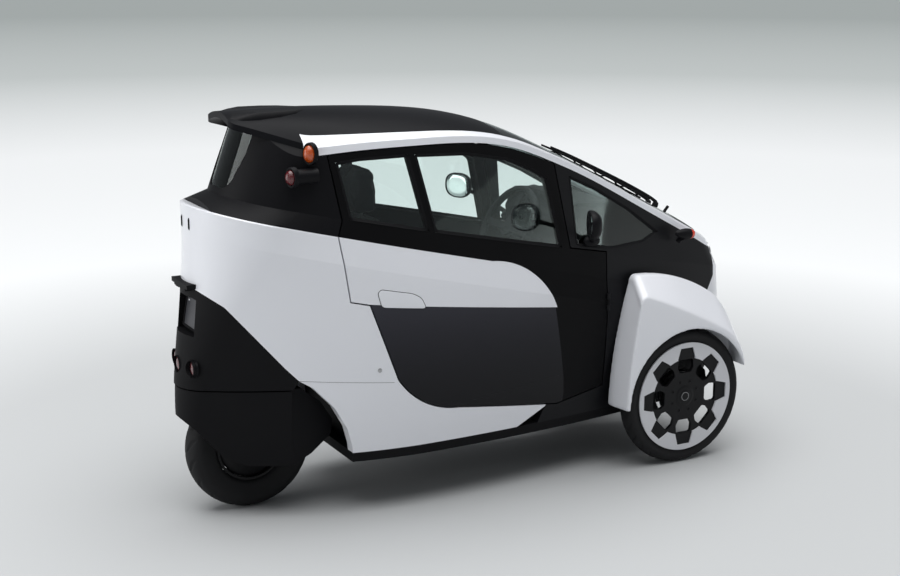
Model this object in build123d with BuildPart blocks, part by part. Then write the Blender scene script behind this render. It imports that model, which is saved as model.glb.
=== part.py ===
from build123d import *
import math
import os

# A narrow enclosed three-wheeler for two people in line, with two hub wheels in front and a single steered
# wheel behind. Millimetres, X forward, Y to the left, Z up, and Z = 0 on the ground. The origin is under the
# middle of the car's length. Places along the car are measured forward from the rear axle, on planes whose
# origin is at that axle.

# Running gear
wheelbase = 1700
rear_axle_x = -904
front_axle_x = rear_axle_x + wheelbase
front_tyre_radius = 275
front_tyre_width = 82
front_bead_radius = 203
front_wheel_y = 350
rear_tyre_radius = 235
rear_tyre_width = 118
rear_bead_radius = 130
axle_radius = 12
bearing_play = 0.05

# Shell
body_wall = 45
glass_set_back = 5
glass_thickness = 6
roof_wall = 22
rail_width = 34
door_gap = 5
panel_reach = 470
sky = 1600

# Each level of the side walls is a plan outline of tangent arcs on a plane that falls towards the front.
# Columns: height over the rear axle, fall per mm forward, tail behind the rear axle, tail radius, half width,
# radius of the side ahead of the widest place, nose ahead of the front axle, nose radius, corner radius
widest = 600
lower_levels = [
    (205, 0.0, 240, 95, 326, 5600, 260, 330, 100),
    (400, 0.04, 268, 115, 342, 5600, 330, 330, 105),
    (670, 0.125, 240, 190, 356, 5900, 368, 330, 110),
    (1005, 0.235, 206, 290, 366, 6100, 366, 330, 110),
]
shoulder_levels = [
    lower_levels[-1],
    (1096, 0.235, 206, 305, 352, 6300, 362, 330, 110),
    (1157, 0.21, 104, 290, 342, 6700, 350, 330, 110),
]
upper_levels = [
    shoulder_levels[-1],
    (1345, 0.0, 42, 268, 310, 6500, 30, 330, 110),
    (1530, 0.0, -27, 245, 285, 6500, -90, 330, 110),
]

# Stations of the top, from the tail lip to the nose.
# Columns: place ahead of the rear axle, height of the crown, radius of the crown across the car
top_stations = [
    (-160, 1460, 345),
    (150, 1465, 340),
    (450, 1455, 545),
    (700, 1435, 700),
    (900, 1395, 880),
    (1100, 1318, 1000),
    (1400, 1170, 1000),
    (1700, 1019, 640),
    (1880, 925, 480),
    (1990, 850, 420),
    (2090, 735, 400),
]
top_half_width = 380
top_base = 150

# Front running gear
hub_y = 284
upright_radius = 15
arm_radius = 13
arm_inner_y = 120
arm_spread = 75
arm_low_z = 258
arm_high_z = 345
fender_inner_y = 302
fender_outer_y = 425
fender_wall = 14
fender_arch_radius = front_tyre_radius + 7
strut_top_z = 700

# Rear running gear
steer_axis_ahead = 45
stem_radius = 17
head_radius = 34
head_height = 70
head_cap = 6
arch_top_z = 512
arch_wall_ahead = 342
crown_z = 478
crown_thickness = 16
fork_leg_y = rear_tyre_width / 2 + 22
fork_leg_thickness = 16
rear_axle_half = fork_leg_y + fork_leg_thickness / 2 + 4
cover_wall = 12
cover_top_z = 490
cover_sheet = 8

# Cabin
floor_top_z = 241
wheel_centre_ahead = 1100
wheel_centre_z = 950
steering_wheel_radius = 160
steering_rim_radius = 14
column_tilt = 28

# Planes: side looks at the right side with its own x forward and y up
side = Plane(origin=(rear_axle_x, 0, 0), x_dir=(1, 0, 0), z_dir=(0, -1, 0))
tail = Plane(origin=(0, 0, 0), x_dir=(0, 1, 0), z_dir=(1, 0, 0))
ground = Plane(origin=(rear_axle_x, 0, 0), x_dir=(1, 0, 0), z_dir=(0, 0, 1))


def on_arc(centre, radius, towards):
    """The point of a circle that lies towards another point."""
    away = Vector(*towards) - Vector(*centre)
    return Vector(*centre) + away.normalized() * radius


def level_plane(level):
    height, fall = level[0], level[1]
    pitch = math.atan(fall)
    return Plane(
        origin=(rear_axle_x + widest, 0, height - fall * widest),
        x_dir=(math.cos(pitch), 0, -math.sin(pitch)),
        z_dir=(math.sin(pitch), 0, math.cos(pitch)),
    )


def draw_level(level, inset):
    """Draws one plan outline, moved inwards by the inset, in the open BuildLine."""
    height, fall, tail_reach, tail_r, half, side_r, nose_reach, nose_r, corner_r = level
    stretch = math.hypot(1, fall)
    tail_x = -(widest + tail_reach) * stretch
    nose_x = (wheelbase + nose_reach - widest) * stretch
    back_r = (tail_x**2 + half**2 + 2 * tail_x * tail_r) / (2 * (half - tail_r))
    tail_centre = (tail_x + tail_r, 0)
    back_centre = (0, half - back_r)
    front_centre = (0, half - side_r)
    nose_centre = (nose_x - nose_r, 0)
    # the corner's centre lies on two circles, one inside the side arc and one inside the nose arc
    apart = math.hypot(nose_centre[0], front_centre[1])
    to_side, to_nose = side_r - corner_r, nose_r - corner_r
    along = (to_nose**2 - to_side**2 + apart**2) / (2 * apart)
    across = math.sqrt(to_nose**2 - along**2)
    ux, uy = -nose_centre[0] / apart, front_centre[1] / apart
    corner_centre = (nose_centre[0] + along * ux - across * uy, along * uy + across * ux)
    away = Vector(*tail_centre) - Vector(*back_centre)
    tail_join = Vector(*tail_centre) + away.normalized() * (tail_r - inset)
    middle = Vector(0, half - inset)
    away = Vector(*corner_centre) - Vector(*front_centre)
    side_join = Vector(*corner_centre) + away.normalized() * (corner_r - inset)
    away = Vector(*corner_centre) - Vector(*nose_centre)
    nose_join = Vector(*corner_centre) + away.normalized() * (corner_r - inset)
    back_mid = on_arc(back_centre, back_r - inset, (tail_join + middle) / 2)
    front_mid = on_arc(front_centre, side_r - inset, (middle + side_join) / 2)
    corner_mid = on_arc(corner_centre, corner_r - inset, (side_join + nose_join) / 2)
    ThreePointArc(tail_join, back_mid, middle)
    ThreePointArc(middle, front_mid, side_join)
    ThreePointArc(side_join, corner_mid, nose_join)
    mirror(about=Plane.XZ)
    ThreePointArc(tail_join, (tail_x + inset, 0), (tail_join.X, -tail_join.Y))
    ThreePointArc(nose_join, (nose_x - inset, 0), (nose_join.X, -nose_join.Y))


def side_walls(inset):
    """The solid inside the side walls, moved inwards by the inset."""
    with BuildPart() as walls:
        for levels, straight in ((lower_levels, False), (shoulder_levels, True), (upper_levels, True)):
            for level in levels:
                with BuildSketch(level_plane(level)):
                    with BuildLine():
                        draw_level(level, inset)
                    make_face()
            loft(ruled=straight)
    return walls.part


def under_top(drop):
    """The solid under the roof, windscreen and hood surface, lowered by the drop."""
    with BuildPart() as cap:
        for ahead, crown, crown_r in top_stations:
            half = min(top_half_width, 0.96 * crown_r)
            edge = crown - crown_r + math.sqrt(crown_r**2 - half**2)
            with BuildSketch(tail.offset(rear_axle_x + ahead)):
                with BuildLine():
                    ThreePointArc((-half, edge - drop), (0, crown - drop), (half, edge - drop))
                    Polyline(
                        (half, edge - drop), (half, top_base - drop), (-half, top_base - drop), (-half, edge - drop)
                    )
                make_face()
        loft()
    return cap.part


def region(points, both=True):
    """A prism across the car over a side-view outline; only its right half where both is False."""
    with BuildPart() as prism:
        with BuildSketch(side):
            with BuildLine():
                Polyline(*points, close=True)
            make_face()
        extrude(amount=panel_reach, both=both)
    return prism.part


walls = side_walls(0)
cabin = side_walls(body_wall)
glass_face = side_walls(glass_set_back)
glass_back = side_walls(glass_set_back + glass_thickness)
between_rails = side_walls(rail_width)
top = under_top(0)
roof_underside = under_top(roof_wall)
screen_underside = under_top(glass_thickness)

# The door's outline seen from the side, and the opening one gap larger
door_front = wheelbase - 334
sill_front = wheelbase - 510
with BuildSketch(side) as door_outline:
    with BuildLine():
        Polyline(
            (456, 507),
            (347, 795),
            (278, 811),
            (236, 1045),
            (258, 1098),
            (178, sky),
            (sill_front - 145, sky),
            (sill_front, 911),
            (door_front, 876),
            (door_front, 345),
            (1145, 308),
            (701, 369),
        )
        ThreePointArc((701, 369), (545, 418), (456, 507))
    make_face()
with BuildPart() as door_opening:
    with BuildSketch(side):
        add(door_outline.sketch_local)
        offset(amount=door_gap, kind=Kind.INTERSECTION)
    extrude(amount=panel_reach, both=True)
# White border, arch and seam lines, seen from the side
border_rear = (-420, 1199)
border_front = (836, 904)
arch_line = [(-260, 905), (-208, 858), (-135, 805), (55, 579), (102, 529)]
arch_edge = [(149, 500), (224, 419), (269, 338), (288, 271), (292, floor_top_z)]
seam = [(102, 529), (520, 490)]

with BuildPart() as rear_body:
    add(walls)
    add(cabin, mode=Mode.SUBTRACT)
    under_edge = [*reversed(seam), *reversed(arch_line[:-1])]
    add(region([border_rear, (700, 936), (700, 480), *under_edge, (-420, 1060)]), mode=Mode.INTERSECT)
    add(door_opening.part, mode=Mode.SUBTRACT)

with BuildPart() as rockers:
    add(walls)
    add(cabin, mode=Mode.SUBTRACT)
    add(region([*seam, (700, 490), (1160, 400), (1089, 304), (965, floor_top_z), *reversed(arch_edge)]),
        mode=Mode.INTERSECT)
    add(door_opening.part, mode=Mode.SUBTRACT)

with BuildPart() as rear_lower:
    add(walls)
    add(cabin, mode=Mode.SUBTRACT)
    add(region([*arch_line, (84, 496), (-420, 496), (-420, 1060)]), mode=Mode.INTERSECT)

# Rear window outline on the tail, and the dark quarters that hold it
window_top_z = 1424
window_low_z = 1200
with BuildPart() as window_block:
    with BuildSketch(tail.offset(rear_axle_x - 300)):
        with BuildLine():
            Polyline(
                (-92, window_low_z), (92, window_low_z), (124, 1330),
                (124, window_top_z), (-124, window_top_z), (-124, 1330), close=True,
            )
        make_face()
        fillet(vertices().group_by(Axis.Y)[0], radius=55)
    extrude(amount=340)

with BuildPart() as rear_quarters:
    add(walls)
    add(cabin, mode=Mode.SUBTRACT)
    add(roof_underside, mode=Mode.INTERSECT)
    add(region([border_rear, (700, 936), (700, sky), (-420, sky)]), mode=Mode.INTERSECT)
    add(door_opening.part, mode=Mode.SUBTRACT)
    add(window_block.part, mode=Mode.SUBTRACT)

# Roof, rails and screen
rail_rear = 146
roof_front = 923
screen_front = 1775
hood_front = 1958
strip_front = 2010
lip_tail = 72
lip_tail_half = 122
lip_half = 240
lip_corner = 40

nose_gap_half = 165
with BuildPart() as nose_gap:
    with Locations((front_axle_x + 160, 0, 0)):
        Box(400, 2 * nose_gap_half, 2 * sky, align=(Align.MIN, Align.CENTER, Align.CENTER))

with BuildPart() as rails:
    add(walls)
    add(top, mode=Mode.INTERSECT)
    add(between_rails, mode=Mode.SUBTRACT)
    add(roof_underside, mode=Mode.SUBTRACT)
    add(region([(rail_rear, 600), (rail_rear, sky), (strip_front, sky), (strip_front, 600)]), mode=Mode.INTERSECT)
    add(nose_gap.part, mode=Mode.SUBTRACT)

with BuildPart() as roof_tail:
    with BuildSketch(ground.offset(1000)):
        with BuildLine():
            Polyline(
                (rail_rear, -lip_half), (-lip_tail, -lip_tail_half),
                (-lip_tail, lip_tail_half), (rail_rear, lip_half), close=True,
            )
        make_face()
        fillet(vertices().group_by(Axis.X)[0], radius=lip_corner)
    extrude(amount=sky - 1000)
    add(top, mode=Mode.INTERSECT)
    add(roof_underside, mode=Mode.SUBTRACT)

with BuildPart() as roof:
    add(top)
    add(between_rails, mode=Mode.INTERSECT)
    add(roof_underside, mode=Mode.SUBTRACT)
    add(region([(rail_rear, 1000), (rail_rear, sky), (roof_front, sky), (roof_front, 1000)]), mode=Mode.INTERSECT)
    add(roof_tail.part)

with BuildPart() as windscreen:
    add(top)
    add(between_rails, mode=Mode.INTERSECT)
    add(screen_underside, mode=Mode.SUBTRACT)
    add(region([(roof_front, 700), (roof_front, sky), (screen_front, sky), (screen_front, 700)]),
        mode=Mode.INTERSECT)

with BuildPart() as hood:
    add(top)
    add(between_rails, mode=Mode.INTERSECT)
    add(roof_underside, mode=Mode.SUBTRACT)
    add(region([(screen_front, 600), (screen_front, sky), (hood_front, sky), (hood_front, 600)]),
        mode=Mode.INTERSECT)

# Dark sides ahead of the doors, with the fixed quarter glass and the opening for the arms
quarter_outline = [(1192, 1186), (1222, 918), (1400, 886), (1560, 892), (1640, 925), (1480, 1037), (1321, 1128)]
quarter_block = region(quarter_outline)
nose_line = [(1958, 1000), (1965, 759), (1968, 705), (1935, 645), (1925, 480)]

# Door hinges: two knuckles and the pin on the body's edge, and one knuckle between them on the door
hinge_ahead = door_front + door_gap / 2
hinge_y = 317
knuckle_radius = 7
pin_radius = 3
hinge_low_z, knuckle_low_z, knuckle_high_z, hinge_high_z = 652, 672, 696, 716
seam_play = 0.3


def knuckle(low, high, leaf_side):
    """A knuckle of the right hinge with its leaf to the front (1) or to the rear (-1)."""
    reach = Align.MIN if leaf_side > 0 else Align.MAX
    with BuildPart() as form:
        with Locations((rear_axle_x + hinge_ahead, -hinge_y, low)):
            Cylinder(knuckle_radius, high - low, align=(Align.CENTER, Align.CENTER, Align.MIN))
            Box(14, 14, high - low, align=(reach, Align.MIN, Align.MIN))
    return form.part


def hinge_column(radius, low, high):
    with BuildPart() as form:
        with Locations((rear_axle_x + hinge_ahead, -hinge_y, low)):
            Cylinder(radius, high - low, align=(Align.CENTER, Align.CENTER, Align.MIN))
    return form.part


with BuildPart() as body_hinges:
    add(knuckle(hinge_low_z, knuckle_low_z - seam_play, 1))
    add(knuckle(knuckle_high_z + seam_play, hinge_high_z, 1))
    add(hinge_column(pin_radius, hinge_low_z, hinge_high_z))
    mirror(about=Plane.XZ)

with BuildPart() as hinge_recess:
    add(hinge_column(knuckle_radius + 1, knuckle_low_z - seam_play, knuckle_high_z + seam_play))
    mirror(about=Plane.XZ)

with BuildPart() as front_sides:
    add(walls)
    add(cabin, mode=Mode.SUBTRACT)
    add(roof_underside, mode=Mode.INTERSECT)
    add(region([(sill_front - 150, sky), (1958, sky), *nose_line, (1900, floor_top_z), (1060, floor_top_z),
                (1089, 304), (1089, 330)]), mode=Mode.INTERSECT)
    add(door_opening.part, mode=Mode.SUBTRACT)
    add(rockers.part, mode=Mode.SUBTRACT)
    add(quarter_block, mode=Mode.SUBTRACT)
    with Locations((front_axle_x, 0, 0)):
        Box(2 * arm_spread + 120, 2 * panel_reach, 1080, mode=Mode.SUBTRACT)
    add(nose_gap.part, mode=Mode.SUBTRACT)
    add(hinge_recess.part, mode=Mode.SUBTRACT)
    add(body_hinges.part)

with BuildPart() as fixed_glass:
    add(glass_face)
    add(glass_back, mode=Mode.SUBTRACT)
    add([quarter_block, window_block.part], mode=Mode.INTERSECT)
    add(roof_underside, mode=Mode.INTERSECT)

with BuildPart() as nose:
    add(walls)
    add(top, mode=Mode.INTERSECT)
    add(cabin, mode=Mode.SUBTRACT)
    add(region([*nose_line, (2300, 480), (2300, 1000)]), mode=Mode.INTERSECT)
    add(rails.part, mode=Mode.SUBTRACT)

with BuildPart() as nose_lower:
    add(walls)
    add(cabin, mode=Mode.SUBTRACT)
    add(region([(1925, 480), (1900, floor_top_z), (2300, floor_top_z), (2300, 480)]), mode=Mode.INTERSECT)

with BuildPart() as floor:
    add(walls)
    add(region([(292, 150), (292, floor_top_z), (2300, floor_top_z), (2300, 150)]), mode=Mode.INTERSECT)

# Shelf over the rear wheel, the wall ahead of the wheel, and the socket of the steering stem
arch_sheet = 18
with BuildPart() as rear_arch:
    with BuildSketch(side):
        Polygon(
            (arch_wall_ahead, floor_top_z),
            (arch_wall_ahead + arch_sheet, floor_top_z),
            (arch_wall_ahead + arch_sheet, arch_top_z + arch_sheet),
            (-300, arch_top_z + arch_sheet),
            (-300, arch_top_z),
            (arch_wall_ahead, arch_top_z),
            align=None,
        )
    extrude(amount=panel_reach, both=True)
    add(cabin, mode=Mode.INTERSECT)
    with Locations((rear_axle_x + steer_axis_ahead, 0, arch_top_z)):
        Cylinder(head_radius, head_height, align=(Align.CENTER, Align.CENTER, Align.MIN))
        Cylinder(
            stem_radius + bearing_play, head_height - head_cap,
            align=(Align.CENTER, Align.CENTER, Align.MIN), mode=Mode.SUBTRACT,
        )

battery_size = (420, 360, 150)
with BuildPart() as battery:
    with Locations((rear_axle_x + 780, 0, floor_top_z)):
        Box(*battery_size, align=(Align.CENTER, Align.CENTER, Align.MIN))

# The doors stop one gap under the lowest edge of the rails, so that they pass under it as they swing out
rail_edge = []
for ahead in range(150, 1151, 100):
    with BuildPart() as rail_slice:
        add(rails.part)
        with Locations((rear_axle_x + ahead, 0, 0)):
            Box(1, 2 * panel_reach, 2 * sky, mode=Mode.INTERSECT)
    rail_edge.append((ahead, rail_slice.part.bounding_box().min.Z - door_gap))
with BuildPart() as door_block:
    with BuildSketch(side):
        add(door_outline.sketch_local)
    extrude(amount=panel_reach)
    add(region([(door_front + 10, 200), (150, 200), *rail_edge, (door_front + 10, rail_edge[-1][1])]),
        mode=Mode.INTERSECT)

# Doors: a dark frame with the hinge side, a white stripe, a dark lower panel and two panes
lower_front = [(1114, 698), (1146, 540), (1170, 410), (1176, 345), (1171, 290)]
rear_pane = [(284, 1099), (246, 1297), (332, 1308), (512, 1312), (580, 1036)]
front_pane = [(604, 1031), (536, 1310), (748, 1303), (925, 1270), (1057, 1209), (1090, 1186), (1152, 919)]
with BuildPart() as door_skin:
    add(walls)
    add(cabin, mode=Mode.SUBTRACT)
    add(door_block.part, mode=Mode.INTERSECT)

with BuildPart() as stripe_right:
    add(door_skin.part)
    with BuildSketch(side):
        with BuildLine():
            Polyline((836, 904), border_rear, (-420, 836), (270, 812), (340, 797), (1122, 697))
            ThreePointArc((1122, 697), (1050, 808), (836, 904))
        make_face()
    extrude(amount=panel_reach, mode=Mode.INTERSECT)

with BuildPart() as panel_right:
    add(door_skin.part)
    add(region([(270, 812), (340, 797), *lower_front, (701, 200), (270, 200)], False), mode=Mode.INTERSECT)

with BuildPart() as window_right:
    add(glass_face)
    add(glass_back, mode=Mode.SUBTRACT)
    add([region(rear_pane, False), region(front_pane, False)], mode=Mode.INTERSECT)
    add(door_block.part, mode=Mode.INTERSECT)

with BuildPart() as door_right:
    add(door_skin.part)
    add(stripe_right.part, mode=Mode.SUBTRACT)
    add(panel_right.part, mode=Mode.SUBTRACT)
    for pane in (rear_pane, front_pane):
        add(region(pane, False), mode=Mode.SUBTRACT)
    add(hinge_column(knuckle_radius + 1, hinge_low_z - 1, knuckle_low_z), mode=Mode.SUBTRACT)
    add(hinge_column(knuckle_radius + 1, knuckle_high_z, hinge_high_z + 1), mode=Mode.SUBTRACT)
    add(knuckle(knuckle_low_z, knuckle_high_z, -1))
    add(hinge_column(pin_radius + bearing_play, knuckle_low_z, knuckle_high_z), mode=Mode.SUBTRACT)


# Wheels, modelled about their own centres with the outer face towards -Y, then set on the axles
front_disc_radius = 221
front_disc_inner = 158
front_disc_thickness = 6
arm_count = 8
arm_tip_radius = 200
arm_tip_width = 60
arm_root_width = 84
window_corners = [(97, 26), (118, 38), (152, 35)]
rim_depth = 9
hub_radius = 34
hub_inner_reach = 34
hub_bore = axle_radius + bearing_play


# Half of a tyre's section below the crown: share of the half width, share of the side wall
tyre_section = [(0.62, 0.0), (0.9, 1.0)]


def wheel_tyre(radius, width, bead):
    """A tyre turned about the Y axis, with plain side walls and a plain tread."""
    outer = [(across * width / 2, bead + up * (radius - bead)) for across, up in tyre_section]
    inner = [(-across, up) for across, up in reversed(outer)]
    with BuildPart() as ring:
        with BuildSketch(Plane.YZ):
            with BuildLine():
                Polyline(*outer, *inner, close=True)
            make_face()
        revolve(axis=Axis.Y)
    return ring.part


def arm_sketch():
    """Eight arms that narrow towards their tips."""
    with BuildSketch() as arm:
        Polygon(
            (0, arm_root_width / 2),
            (0, -arm_root_width / 2),
            (front_disc_inner, -arm_root_width / 2),
            (arm_tip_radius, -arm_tip_width / 2),
            (arm_tip_radius, arm_tip_width / 2),
            (front_disc_inner, arm_root_width / 2),
            align=None,
        )
    with BuildSketch() as arms:
        with PolarLocations(0, arm_count):
            add(arm.sketch)
    return arms.sketch


def wheel_windows():
    """A rounded window in the middle of each arm, with narrow spokes left between them."""
    with BuildSketch() as window:
        Polygon(*window_corners, *[(out, -across) for out, across in reversed(window_corners)], align=None)
        fillet(window.vertices(), radius=10)
    with BuildSketch() as windows:
        with PolarLocations(0, arm_count):
            add(window.sketch)
    return windows.sketch


rim_half = 0.62 * front_tyre_width / 2
disc_outer = front_tyre_width / 2
with BuildPart() as front_wheel:
    with BuildSketch(Plane.YZ):
        with Locations((0, front_bead_radius - rim_depth / 2)):
            Rectangle(2 * rim_half, rim_depth)
        with Locations(((hub_inner_reach - disc_outer) / 2 + 4, (hub_bore + hub_radius) / 2)):
            Rectangle(disc_outer + hub_inner_reach - 8, hub_radius - hub_bore)
        with Locations((-disc_outer + 7, hub_radius / 2)):
            Rectangle(6, hub_radius)
    revolve(axis=Axis.Y)
    with BuildSketch(Plane.XZ.offset(disc_outer - front_disc_thickness)):
        Circle(front_disc_inner + 2)
        add(arm_sketch())
        add(wheel_windows(), mode=Mode.SUBTRACT)
        Circle(hub_radius - 2, mode=Mode.SUBTRACT)
    extrude(amount=-14)
    with BuildSketch(Plane.XZ.offset(rim_half)):
        Circle(front_bead_radius - 1)
        Circle(arm_tip_radius - 12, mode=Mode.SUBTRACT)
    extrude(amount=-10)

with BuildPart() as front_disc:
    with BuildSketch(Plane.XZ.offset(disc_outer - front_disc_thickness)):
        Circle(front_disc_radius)
        Circle(front_disc_inner, mode=Mode.SUBTRACT)
        add(arm_sketch(), mode=Mode.SUBTRACT)
    extrude(amount=front_disc_thickness)

rear_rim_half = 0.62 * rear_tyre_width / 2
rear_hub_reach = 50
rear_arm_count = 5
with BuildPart() as rear_wheel_form:
    with BuildSketch(Plane.YZ):
        with Locations((0, rear_bead_radius - rim_depth / 2)):
            Rectangle(2 * rear_rim_half, rim_depth)
        with Locations((0, (hub_bore + hub_radius) / 2)):
            Rectangle(2 * rear_hub_reach, hub_radius - hub_bore)
    revolve(axis=Axis.Y)
    with BuildSketch(Plane.XZ.offset(8)):
        with PolarLocations(rear_bead_radius / 2 + 10, rear_arm_count, start_angle=90):
            Rectangle(rear_bead_radius - hub_radius + 4, 30)
    extrude(amount=-16)


front_tyre_form = wheel_tyre(front_tyre_radius, front_tyre_width, front_bead_radius)
rear_tyre_form = wheel_tyre(rear_tyre_radius, rear_tyre_width, rear_bead_radius)
with BuildPart() as tyre_right:
    with Locations((front_axle_x, -front_wheel_y, front_tyre_radius)):
        add(front_tyre_form)
with BuildPart() as wheel_right:
    with Locations((front_axle_x, -front_wheel_y, front_tyre_radius)):
        add(front_wheel.part)
with BuildPart() as disc_right:
    with Locations((front_axle_x, -front_wheel_y, front_tyre_radius)):
        add(front_disc.part)
with BuildPart() as tyre_rear:
    with Locations((rear_axle_x, 0, rear_tyre_radius)):
        add(rear_tyre_form)
with BuildPart() as wheel_rear:
    with Locations((rear_axle_x, 0, rear_tyre_radius)):
        add(rear_wheel_form.part)

# Front uprights with their stub axles and struts, both sides in one piece list
upright_half_thickness = 15
upright_outer_y = hub_y + upright_half_thickness
upright_inner_y = hub_y - upright_half_thickness
stub_end_y = front_wheel_y + disc_outer - 14
with BuildPart() as uprights:
    with Locations((front_axle_x, -hub_y, (arm_low_z + arm_high_z) / 2)):
        Box(60, 2 * upright_half_thickness, arm_high_z - arm_low_z + 40)
    with Locations((front_axle_x, -upright_outer_y, front_tyre_radius)):
        Cylinder(20, 10, rotation=(90, 0, 0), align=(Align.CENTER, Align.CENTER, Align.MIN))
        Cylinder(axle_radius, stub_end_y - upright_outer_y, rotation=(90, 0, 0),
                 align=(Align.CENTER, Align.CENTER, Align.MIN))
    with Locations((front_axle_x, -hub_y, arm_high_z)):
        Cylinder(upright_radius, strut_top_z - arm_high_z, align=(Align.CENTER, Align.CENTER, Align.MIN))
    with Locations((front_axle_x, -(upright_inner_y + fender_inner_y) / 2, strut_top_z - 35)):
        Box(44, fender_inner_y - upright_inner_y, 50)
    mirror(about=Plane.XZ)

# Lateral arms: each is two tubes that meet at the upright, above and below the hub
with BuildPart() as arms:
    for height in (arm_low_z, arm_high_z):
        for lead in (-1, 1):
            inner = Vector(front_axle_x + lead * arm_spread, -arm_inner_y + 10, height)
            outer = Vector(front_axle_x, -upright_inner_y - 5, height)
            with BuildSketch(Plane(origin=inner, z_dir=outer - inner)):
                Circle(arm_radius)
            extrude(amount=(outer - inner).length)
    with Locations((front_axle_x, -(arm_inner_y + upright_inner_y) / 2, 300)):
        Box(400, upright_inner_y - arm_inner_y, 400, mode=Mode.INTERSECT)
    mirror(about=Plane.XZ)

yoke_z = 500
yoke_size = 40
with BuildPart() as subframe:
    with Locations((front_axle_x, 0, floor_top_z)):
        Box(2 * arm_spread + 60, 2 * arm_inner_y, arm_high_z + 25 - floor_top_z,
            align=(Align.CENTER, Align.CENTER, Align.MIN))
        Box(90, 90, yoke_z - floor_top_z, align=(Align.CENTER, Align.CENTER, Align.MIN))
    with Locations((front_axle_x, 0, yoke_z)):
        Box(yoke_size, 2 * upright_inner_y, yoke_size)

# Fenders: a hollow fairing over each front wheel, open below, whose outer half falls to a crease
# Columns of each arc: its start, a point on it, its end, forward of the rear axle and up
fender_inner_arcs = [
    ((1385, 262), (1410, 510), (1466, 750)),
    ((1466, 750), (1475, 776), (1502, 783)),
    ((1502, 783), (1700, 748), (1860, 668)),
    ((1860, 668), (1945, 560), (1982, 412)),
]
fender_outer_arcs = [
    ((1400, 262), (1422, 500), (1448, 670)),
    ((1448, 670), (1456, 702), (1484, 712)),
    ((1484, 712), (1684, 628), (1850, 545)),
    ((1850, 545), (1932, 474), (1968, 382)),
]
fender_tip = (1958, 350)
fender_centre = Vector(1700, 330)
fender_crease_y = 335


def fender_section(arcs, across, inset):
    """One side-view section of the fender, drawn in towards its centre by the inset."""

    def drawn_in(point):
        return Vector(*point) + (fender_centre - Vector(*point)).normalized() * inset

    with BuildSketch(side.offset(across)) as section:
        with BuildLine():
            for start, middle, end in arcs:
                ThreePointArc(drawn_in(start), drawn_in(middle), drawn_in(end))
            Polyline(drawn_in(arcs[-1][2]), drawn_in(fender_tip), drawn_in(arcs[0][0]))
        make_face()
    return section.sketch


with BuildPart() as fender_cavity:
    add(fender_section(fender_inner_arcs, fender_inner_y + fender_wall, fender_wall))
    add(fender_section(fender_inner_arcs, fender_crease_y - 4, fender_wall))
    add(fender_section(fender_outer_arcs, fender_outer_y - fender_wall, fender_wall))
    loft(ruled=True)
with BuildPart() as fenders:
    add(fender_section(fender_inner_arcs, fender_inner_y, 0))
    add(fender_section(fender_inner_arcs, fender_crease_y, 0))
    add(fender_section(fender_outer_arcs, fender_outer_y, 0))
    loft(ruled=True)
    add(fender_cavity.part, mode=Mode.SUBTRACT)
    with Locations((front_axle_x, -fender_inner_y + 1, front_tyre_radius)):
        Cylinder(fender_arch_radius, 200, rotation=(90, 0, 0), align=(Align.CENTER, Align.CENTER, Align.MIN),
                 mode=Mode.SUBTRACT)
    add(walls, mode=Mode.SUBTRACT)
    mirror(about=Plane.XZ)

# Rear steering fork: a stem, a crown, two legs and the axle, inside a skirted cover that turns with it
crown_length = 190
crown_width = 210
cover_line = [(-300, cover_top_z), (-300, 415), (-225, 345), (-140, 245), (-60, 206), (70, 204), (165, 236),
              (250, 290), (258, 345), (205, 425), (120, cover_top_z)]
cover_plan = [(-400, -400), (80, -400), (80, -234), (262, -190), (262, 190), (80, 234), (80, 400), (-400, 400)]


def cover_form(inset):
    """The cover's outside, or its inside where an inset is given."""
    with BuildPart() as form:
        with BuildSketch(side):
            with BuildLine():
                Polyline(*cover_line, close=True)
            make_face()
        extrude(amount=panel_reach, both=True)
        with BuildSketch(ground):
            with BuildLine():
                Polyline(*cover_plan, close=True)
            make_face()
            offset(amount=-inset if inset else 0.001)
        extrude(amount=cover_top_z, mode=Mode.INTERSECT)
        add(side_walls(4 + inset), mode=Mode.INTERSECT)
    return form.part


cover_inside = cover_form(cover_wall)
with BuildPart() as rear_cover:
    add(cover_form(0))
    add(cover_inside.moved(Location((0, 0, -cover_sheet))), mode=Mode.SUBTRACT)
    with Locations((rear_axle_x + steer_axis_ahead, 0, cover_top_z)):
        Box(crown_length, crown_width, 4 * cover_sheet, mode=Mode.SUBTRACT)

with BuildPart() as rear_fork:
    with Locations((rear_axle_x + steer_axis_ahead, 0, crown_z)):
        Box(crown_length, crown_width, crown_thickness, align=(Align.CENTER, Align.CENTER, Align.MIN))
        Cylinder(stem_radius, arch_top_z + head_height - head_cap - 4 - crown_z,
                 align=(Align.CENTER, Align.CENTER, Align.MIN))
    for across in (-fork_leg_y, fork_leg_y):
        with BuildSketch(side.offset(across - fork_leg_thickness / 2)):
            with BuildLine():
                Polyline(
                    (-30, rear_tyre_radius - 26), (26, rear_tyre_radius - 26),
                    (90, crown_z), (-10, crown_z), close=True,
                )
            make_face()
        extrude(amount=fork_leg_thickness)
    with Locations((rear_axle_x, 0, rear_tyre_radius)):
        Cylinder(axle_radius, 2 * rear_axle_half, rotation=(90, 0, 0))

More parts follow.
